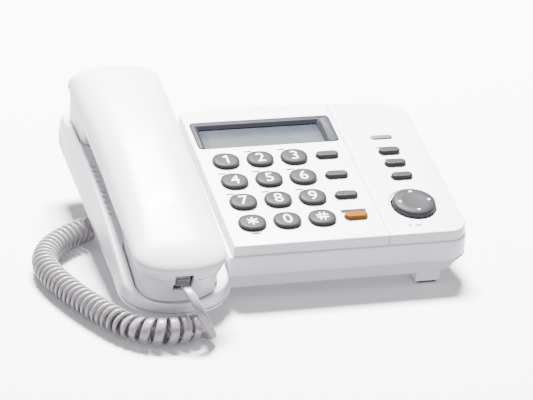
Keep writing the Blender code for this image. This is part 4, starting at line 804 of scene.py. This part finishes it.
def cradle_body(inset=0.0, bottom=PART_LINE):
    """The boat-shaped body of the cradle, lofted from front to back, with a rounded rim."""
    front, back = CRADLE_FRONT + inset, CRADLE_BACK - inset
    nose, heel = CRADLE_FRONT + CRADLE_NOSE, back - CRADLE_BACK_CORNER
    stations = [nose - (nose - front) * math.cos(math.radians(a)) for a in (6, *range(9, 88, 4))]
    stations += [nose + (heel - nose) * i / 36 for i in range(37)]
    stations += [heel + CRADLE_BACK_CORNER * math.sin(math.radians(a)) for a in range(8, 89, 8)]
    rings = []
    for y in stations:
        half, top = cradle_half(y, inset), crown(y) - inset
        flare = CRADLE_FLARE * (top - bottom) / (CREST_Z - PART_LINE)
        r = min(RIM_ROUND, half * 0.4)
        low_y = y - flare * max(0.0, (nose - y) / CRADLE_NOSE) ** 2
        turn = [math.radians(15 * k) for k in range(7)]
        right = [(half + flare, low_y, bottom)]
        right += [(half - r + r * math.cos(a), y, top - r + r * math.sin(a)) for a in turn]
        left = [(-x, py, z) for x, py, z in right[::-1]]
        rings.append([(CRADLE_X + x, py, z) for x, py, z in right + left])
    return loft(rings)


def grille_slots():
    slots = []
    for column in range(GRILLE_COLUMNS):
        for row in range(GRILLE_ROWS):
            x = CRADLE_X - CRADLE_WIDTH / 2 + GRILLE_INSET + column * GRILLE_STEP
            y = GRILLE_Y[0] + (GRILLE_Y[1] - GRILLE_Y[0]) * (row + 0.5 * (column % 2)) / (GRILLE_ROWS - 0.5)
            w, d, lean = SLOT[0] / 2, SLOT[1] / 2, SLOT_LEAN / 2
            ring = [(x + i * w, y + j * d + i * lean) for i, j in ((-1, -1), (1, -1), (1, 1), (-1, 1))]
            slots.append(loft([raise_to(ring, CREST_Z - 7.5), raise_to(ring, CREST_Z + 4.5)]))
    return joined(slots)


def make_top_housing():
    """The cradle, a web and the housing under the plates, hollowed, with its wells, grille and openings."""
    ledge, edge, kinds = -PLATE_HEIGHT - GAP, 0.7, ("ear", "mouth")
    rings = [raise_to(housing_outline(PART_LINE), PART_LINE)]
    for k in range(6):
        a = math.radians(18 * k)
        z = ledge - edge * (1 - math.sin(a))
        rings.append(raise_to(housing_outline(z, edge * (1 - math.cos(a))), z))
    cradle_right = CRADLE_X + CRADLE_WIDTH / 2
    web_top = min(crown(2.0), crown(deck_back(0.0))) - 0.6
    below, floor = PART_LINE - 2, CUP_DEPTH - GAP
    steps = [(ADD, loft(rings)), (ADD, box(cradle_right - 6, 6, 2, deck_back(0), PART_LINE, web_top))]
    wells = [cup(kind, CUP_CLEAR + WELL_SKIN, floor - WELL_SKIN, HANDSET_MID, 1.0) for kind in kinds]
    steps.append((CUT, shaped(cradle_body(WALL, below), *[(CUT, well) for well in wells])))
    cavity = [raise_to(housing_outline(z, WALL), z) for z in (PART_LINE, ledge - WALL)]
    cavity.insert(0, raise_to(housing_outline(PART_LINE, WALL), below))
    steps.append((CUT, loft(cavity)))
    steps.append((CUT, box(cradle_right - 8, 8, 6, deck_back(0) - 4, below, web_top - WALL)))
    steps += [(CUT, cup(kind, CUP_CLEAR, floor, HANDSET_MID, 1.6)) for kind in kinds]
    t = TRAY_INSET
    steps.append((CUT, box(t, DECK_WIDTH - t, t, DECK_DEPTH - DECK_BOW - t, ledge - WALL - 6, 0)))
    steps.append((CUT, grille_slots()))
    hole = PLUNGER_RADIUS + GAP
    steps.append((CUT, turned([(hole, floor - WELL_SKIN - 5), (hole, floor + 5)], 48, *PLUNGER)))
    y, w, d = EAR_FRONT - TAB_AHEAD, TAB[0] / 2 + GAP, TAB[1] / 2 + GAP
    steps.append((CUT, box(HANDSET_X - w, HANDSET_X + w, y - d, y + d, CREST_Z - 12, CREST_Z + 5)))
    dress("upper_housing", shaped(cradle_body(), *steps), WHITE, "base", ("base_top_housing",))


def dial_places():
    names = ("1", "2", "3", "4", "5", "6", "7", "8", "9", "star", "0", "hash")
    places = [(KEY_X + PITCH_X * (i % 3), KEY_Y - PITCH_Y * (i // 3)) for i in range(12)]
    return [("dial_key_" + name, x, y) for name, (x, y) in zip(names, places)]


def pill_places():
    names = ("pill_key_upper", "pill_key_middle", "pill_key_lower", "speaker_key")
    return [(name, PILL_X, KEY_Y - PITCH_Y * i) for i, name in enumerate(names)]


def function_places():
    names = ("function_key_upper", "function_key_middle", "function_key_lower")
    return [(name, FUNCTION_X, y) for name, y in zip(names, FUNCTION_Y)]


def key_hole(outline):
    return loft([raise_to(outline, -PLATE_SKIN - 2), raise_to(outline, 1)])


def plate(x0, x1, seam, front_radii, back_radii, *steps):
    """A face plate: a shallow lid with a rounded upper edge, open below, and upright at the seam's side."""
    levels = [(-PLATE_HEIGHT, 0.45)]
    for k in range(7):
        a = math.radians(15 * k)
        levels.append((-1.1 + 1.1 * math.sin(a), 0.15 - 1.05 * (1 - math.cos(a))))
    rings = []
    for z, grow in levels:
        left = x0 if seam == "left" else x0 - grow
        right = x1 if seam == "right" else x1 + grow
        rings.append(raise_to(deck_outline(left, right, grow, front_radii, back_radii), z))
    t = PLATE_SKIN
    radii = [[max(0.6, r - t) for r in pair] for pair in (front_radii, back_radii)]
    inner = deck_outline(x0 + t, x1 - t, -t, *radii)
    hollow = loft([raise_to(inner, -PLATE_HEIGHT - 1), raise_to(inner, -PLATE_SKIN)])
    return shaped(loft(rings), (CUT, box(*MAT)), (CUT, hollow), *steps)


def make_plates():
    g = 2 * GAP
    holes = [key_hole(dial_outline(DIAL_KEY[0] + g, DIAL_KEY[1] + g, x, y)) for _, x, y in dial_places()]
    holes += [key_hole(pill(PILL_KEY[0] + g, PILL_KEY[1] + g, x, y)) for _, x, y in pill_places()]
    x0, y0, x1, y1 = BEZEL
    seat = rounded(x0 - GAP, x1 + GAP, y0 - GAP, y1 + GAP, 2.6)
    lip, rim = BEZEL_LIP, WINDOW_RIM + GAP
    a, b, c, d = SCREEN
    mesh = plate(
        0, SEAM - GAP / 2, "right", (1.2, 0.3), (2.0, 0.3),
        (CUT, joined(holes)),
        (CUT, loft([raise_to(seat, -BEZEL_DROP), raise_to(seat, 1)])),
        (CUT, box(x0 + lip, x1 - lip, y0 + lip, y1 - lip, -PLATE_SKIN - 2, 0)),
        (CUT, box(a - rim, c + rim, b - rim, d + rim, -PLATE_SKIN - 2, 0)),
    )
    dress("keypad_plate", mesh, WHITE, "base", ("keypad_panel",))
    holes = [key_hole(pill(FUNCTION_KEY[0] + g, FUNCTION_KEY[1] + g, x, y)) for _, x, y in function_places()]
    x, y, w, d = LENS
    holes.append(key_hole(pill(w + g, d + g, x, y)))
    holes.append(turned([(MIC_HOLE, -PLATE_SKIN - 2), (MIC_HOLE, 1)], 24, MIC_X, MIC_Y))
    dish = turned([(NAV_TRAY / 2 - 0.8, -0.8), (NAV_TRAY / 2 + 0.3, 0.4)], 96, NAV_X, NAV_Y)
    hole = turned([(NAV_RADIUS + 0.7, -PLATE_SKIN - 2), (NAV_RADIUS + 0.7, 1)], 96, NAV_X, NAV_Y)
    radii = (0.3, CORNER_FRONT - LEDGE), (0.3, CORNER_BACK - LEDGE)
    mesh = plate(SEAM + GAP / 2, DECK_WIDTH, "left", *radii, (CUT, joined(holes)), (CUT, dish), (CUT, hole))
    dress("function_plate", mesh, WHITE, "base", ("function_panel",))


def dome(share):
    """Height of a key's top at a share of the way from its edge to its middle."""
    return KEY_PROUD * (0.72 + 0.28 * (1 - (1 - share) ** 8))


def make_key(node, x, y, size, outline, look):
    """A key's cap: a domed top on upright sides, with a flange under the plate."""
    w, d = size
    under = -PLATE_SKIN - GAP
    levels = [(under - FLANGE_THICK, FLANGE), (under, FLANGE), (under, 0.0)]
    reach = min(w, d) / 2
    levels += [(dome(s), -s * reach) for s in KEY_SHARES]
    rings = [raise_to(outline(w + 2 * g, d + 2 * g, x, y), z) for z, g in levels]
    dress(node.replace("key", "cap", 1), loft(rings), look, node, (node,))


def bars(strokes, z0, z1):
    """Straight strokes with round ends, each as its ends and width, joined in one solid."""
    shapes = []
    for (x0, y0), (x1, y1), width in strokes:
        a = math.degrees(math.atan2(y1 - y0, x1 - x0))
        outline = arc(x1, y1, width / 2, a - 90, a + 90, 8) + arc(x0, y0, width / 2, a + 90, a + 270, 8)
        shapes.append(loft([raise_to(outline, z0), raise_to(outline, z1)]))
    first, *others = shapes
    return shaped(first, *[(ADD, shape) for shape in others])


def star_outline(x, y, reach, half):
    """Six arms with round ends, two of them upright."""
    points = []
    for k in range(6):
        a = math.pi / 3 * k + math.pi / 6
        c, s = math.cos(a), math.sin(a)
        arm = [(2 * half * math.cos(-math.pi / 6), 2 * half * math.sin(-math.pi / 6))]
        arm += arc(reach - half, 0, half, -90, 90, 6)
        points += [(x + px * c - py * s, y + px * s + py * c) for px, py in arm]
    return points


def digit(text, x, y, z0, z1):
    """A printed digit, from the program's built-in font; a 9 is a 6 turned round."""
    curve = bpy.data.curves.new("digit", "FONT")
    curve.body = "6" if text == "9" else text
    curve.size = DIGIT_SIZE * MM
    curve.resolution_u = 10
    curve.extrude = (z1 - z0) / 2 * MM
    obj = link("digit", curve)
    graph = bpy.context.evaluated_depsgraph_get()
    mesh = bpy.data.meshes.new_from_object(obj.evaluated_get(graph))
    bpy.data.objects.remove(obj)
    points = [v.co for v in mesh.vertices]
    middle = [(min(p[k] for p in points) + max(p[k] for p in points)) / 2 for k in range(2)]
    turn = Matrix.Rotation(math.pi if text == "9" else 0.0, 4, "Z")
    mesh.transform(DECK @ Matrix.Translation(Vector((x, y, (z0 + z1) / 2)) * MM) @ turn
                   @ Matrix.Translation((-middle[0], -middle[1], 0)))
    return mesh


def key_print(mark, x, y):
    """The mark on a dial key's top."""
    z0, z1 = KEY_PROUD - PRINT_SINK, KEY_PROUD + PRINT_PROUD
    if mark == "hash":
        r, lean, (across, up) = HASH_REACH, HASH_LEAN, HASH_SPACING
        strokes = [((x + s - lean, y - r), (x + s + lean, y + r), HASH_STROKE) for s in (-across, across)]
        strokes += [((x - r, y + s), (x + r, y + s), HASH_STROKE) for s in (-up, up)]
        return bars(strokes, z0, z1)
    if mark not in ("star", "1"):
        return digit(mark, x, y, z0, z1)
    outline = [(x + px, y + py) for px, py in ONE]
    if mark == "star":
        outline = star_outline(x, y, STAR_REACH, STAR_HALF)
    return loft([raise_to(outline, z0), raise_to(outline, z1)])


def make_keys():
    for node, x, y in dial_places():
        make_key(node, x, y, DIAL_KEY, dial_outline, KEY_GREY)
        mark = node.rsplit("_", 1)[1]
        dress("print_" + mark, key_print(mark, x, y), INK, node)
    for node, x, y in pill_places():
        look, slot = (ORANGE, "orange_key") if node == "speaker_key" else (KEY_GREY, "grey_key")
        make_key(node, x, y, PILL_KEY, pill, look)
    for node, x, y in function_places():
        make_key(node, x, y, FUNCTION_KEY, pill, KEY_GREY)


def make_navigation_key():
    r = NAV_RADIUS
    low, top = NAV_PIVOT_Z + 0.9 + GAP, KEY_PROUD + 0.5
    profile = [(r - 3.0, low), (r, low + 0.2)]
    profile += [(r - inward, top - down) for inward, down in NAV_ROUND]
    profile.append((1.0, top - 0.22))
    dress("four_way_cap", turned(profile, 96, NAV_X, NAV_Y), NAV_GREY, "nav_key", ("nav_key",))
    arrows = []
    for k in range(4):
        a = math.pi / 2 * k
        c, s = math.cos(a), math.sin(a)
        shape = [(9.3, 0.0), (7.7, 1.15), (7.7, -1.15)]
        ring = [(NAV_X + px * c - py * s, NAV_Y + px * s + py * c) for px, py in shape]
        arrows.append(loft([raise_to(ring, top - 0.2), raise_to(ring, top + 0.02)]))
    dress("four_arrows", joined(arrows), INK, "nav_key")


def make_display():
    """The frame round the display, whose inner slope runs down to the pane, and the lamp's lens."""
    x0, y0, x1, y1 = BEZEL
    seat = -BEZEL_DROP + GAP
    levels = [(seat, 0.0), (0.15, 0.0), (0.27, 0.05), (0.37, 0.14), (0.44, 0.28), (0.5, 0.5)]
    rings = [raise_to(rounded(x0 + g, x1 - g, y0 + g, y1 - g, 2.3), z) for z, g in levels]
    a, b, c, d = SCREEN
    levels = ((seat - 1, 0), (seat + 0.1, 0), (1.0, 2.4))
    hole = [raise_to(rounded(a - g, c + g, b - g, d + g, 0.8, 6), z) for z, g in levels]
    mesh = shaped(loft(rings), (CUT, loft(hole)))
    dress("display_surround", mesh, BEZEL_GREY, "base", ("display_bezel",))
    x, y, w, d = LENS
    under = -PLATE_SKIN - GAP
    levels = [(under - 0.8, FLANGE), (under, FLANGE), (under, 0.0), (0.3, 0.0), (0.42, -0.06), (0.55, -0.2),
              (0.64, -0.38), (0.7, -0.7), (0.72, -1.2)]
    rings = [raise_to(pill(w + 2 * g, d + 2 * g, x, y), z) for z, g in levels]
    dress("lens_cap", loft(rings), LENS_LOOK, "base", ("indicator_lens",))


def make_printing():
    """Plain grey bars where such phones carry captions."""
    strokes = []
    for node, x, y in dial_places():
        mark = node.rsplit("_", 1)[1]
        if mark in "23456789":
            strokes.append((x - 5.2, y + 8.6, 4.6))
        elif mark == "star":
            strokes.append((x, y - 8.6, 5.0))
    strokes += [(x, y + 4.4, 7.0) for _, x, y in pill_places()[1:3]]
    strokes += [(x - 1.5, y + 4.4, width) for (_, x, y), width in zip(function_places()[:2], (10.0, 6.0))]
    strokes.append((MIC_X + 4.5, MIC_Y - 0.5, 3.4))
    shapes = [loft([raise_to(pill(w, CAPTION, x, y), z) for z in FILM]) for x, y, w in strokes]
    x, y = PILL_X, KEY_Y - 3 * PITCH_Y + 5.0
    patch = rounded(x - 7.0, x + 7.0, y - 1.3, y + 1.7, 0.3, 4)
    shapes.append(loft([raise_to(patch, z) for z in FILM]))
    dress("caption_bars", joined(shapes), GREY_INK, "base")


# ======================== small parts
def make_screws():
    """Pan-head screws with a cross recess, one under each boss of the bottom cover."""
    heads = []
    low = TUB_Z
    profile = [(1.2, low - 0.9), (2.0, low - 0.85), (2.6, low - 0.6), (2.9, low - 0.25), (3.0, low + 0.3)]
    for x, y in BOSSES:
        cross = [box(x - w, x + w, y - d, y + d, low - 2, low - 0.35) for w, d in ((1.5, 0.3), (0.3, 1.5))]
        heads.append(shaped(turned(profile, 32, x, y), *[(CUT, slot) for slot in cross]))
    dress("cover_screws", joined(heads), STEEL, "base")


def make_contacts():
    """Gold wires in the plugs and in the line jack."""
    half, low, high = 0.2, -PLUG_HEIGHT / 2 - 0.05, -1.2
    x, y, z = HANDSET_JACK
    blades = [soft_box(x + dx - half, x + dx + half, y + 3.0, y + 7.8, z + low, z + high, 0.1)
              for dx in PLUG_CONTACTS]
    dress("handset_plug_contacts", joined(blades), GOLD, "handset")
    x, y, z = BASE_JACK
    blades = [soft_box(x + 3.0, x + 7.8, y + dy - half, y + dy + half, z + low, z + high, 0.1)
              for dy in PLUG_CONTACTS]
    dress("base_plug_contacts", joined(blades), GOLD, "base")
    x, y, z = LINE_JACK
    wires = [soft_box(x + dx - half, x + dx + half, y - 9.3, y - 3.2, z + 3.2, z + 3.7, 0.15)
             for dx in LINE_CONTACTS]
    dress("line_jack_wires", joined(wires), GOLD, "base")


def make_carried_over():
    """Procedural looks for the nodes of the model that show as they are."""
    looks = {
        "white_shell": WHITE, "grey_key": KEY_GREY, "orange_key": ORANGE, "dark_part": DARK,
        "foot_rubber": RUBBER, "display_frame": BEZEL_GREY, "clear_window": PANE, "display_glass": DISPLAY,
        "lens": LENS_LOOK, "lamp": LAMP, "key_mat": SILICONE, "board": BOARD, "speaker_metal": SPEAKER,
        "cell": CELL, "ballast": STEEL, "clear_plug": CLEAR, "cord_jacket": CORD,
    }
    for row in frame["record"]["subparts"]:
        mesh = nodes[row["node"]].data
        mesh.materials.clear()
        mesh.materials.append(looks[row["material_slot"]])


make_camera()
make_cord()
make_light()
make_floor()
make_carried_over()
make_handset()
make_top_housing()
make_plates()
make_keys()
make_navigation_key()
make_display()
make_printing()
make_screws()
make_contacts()
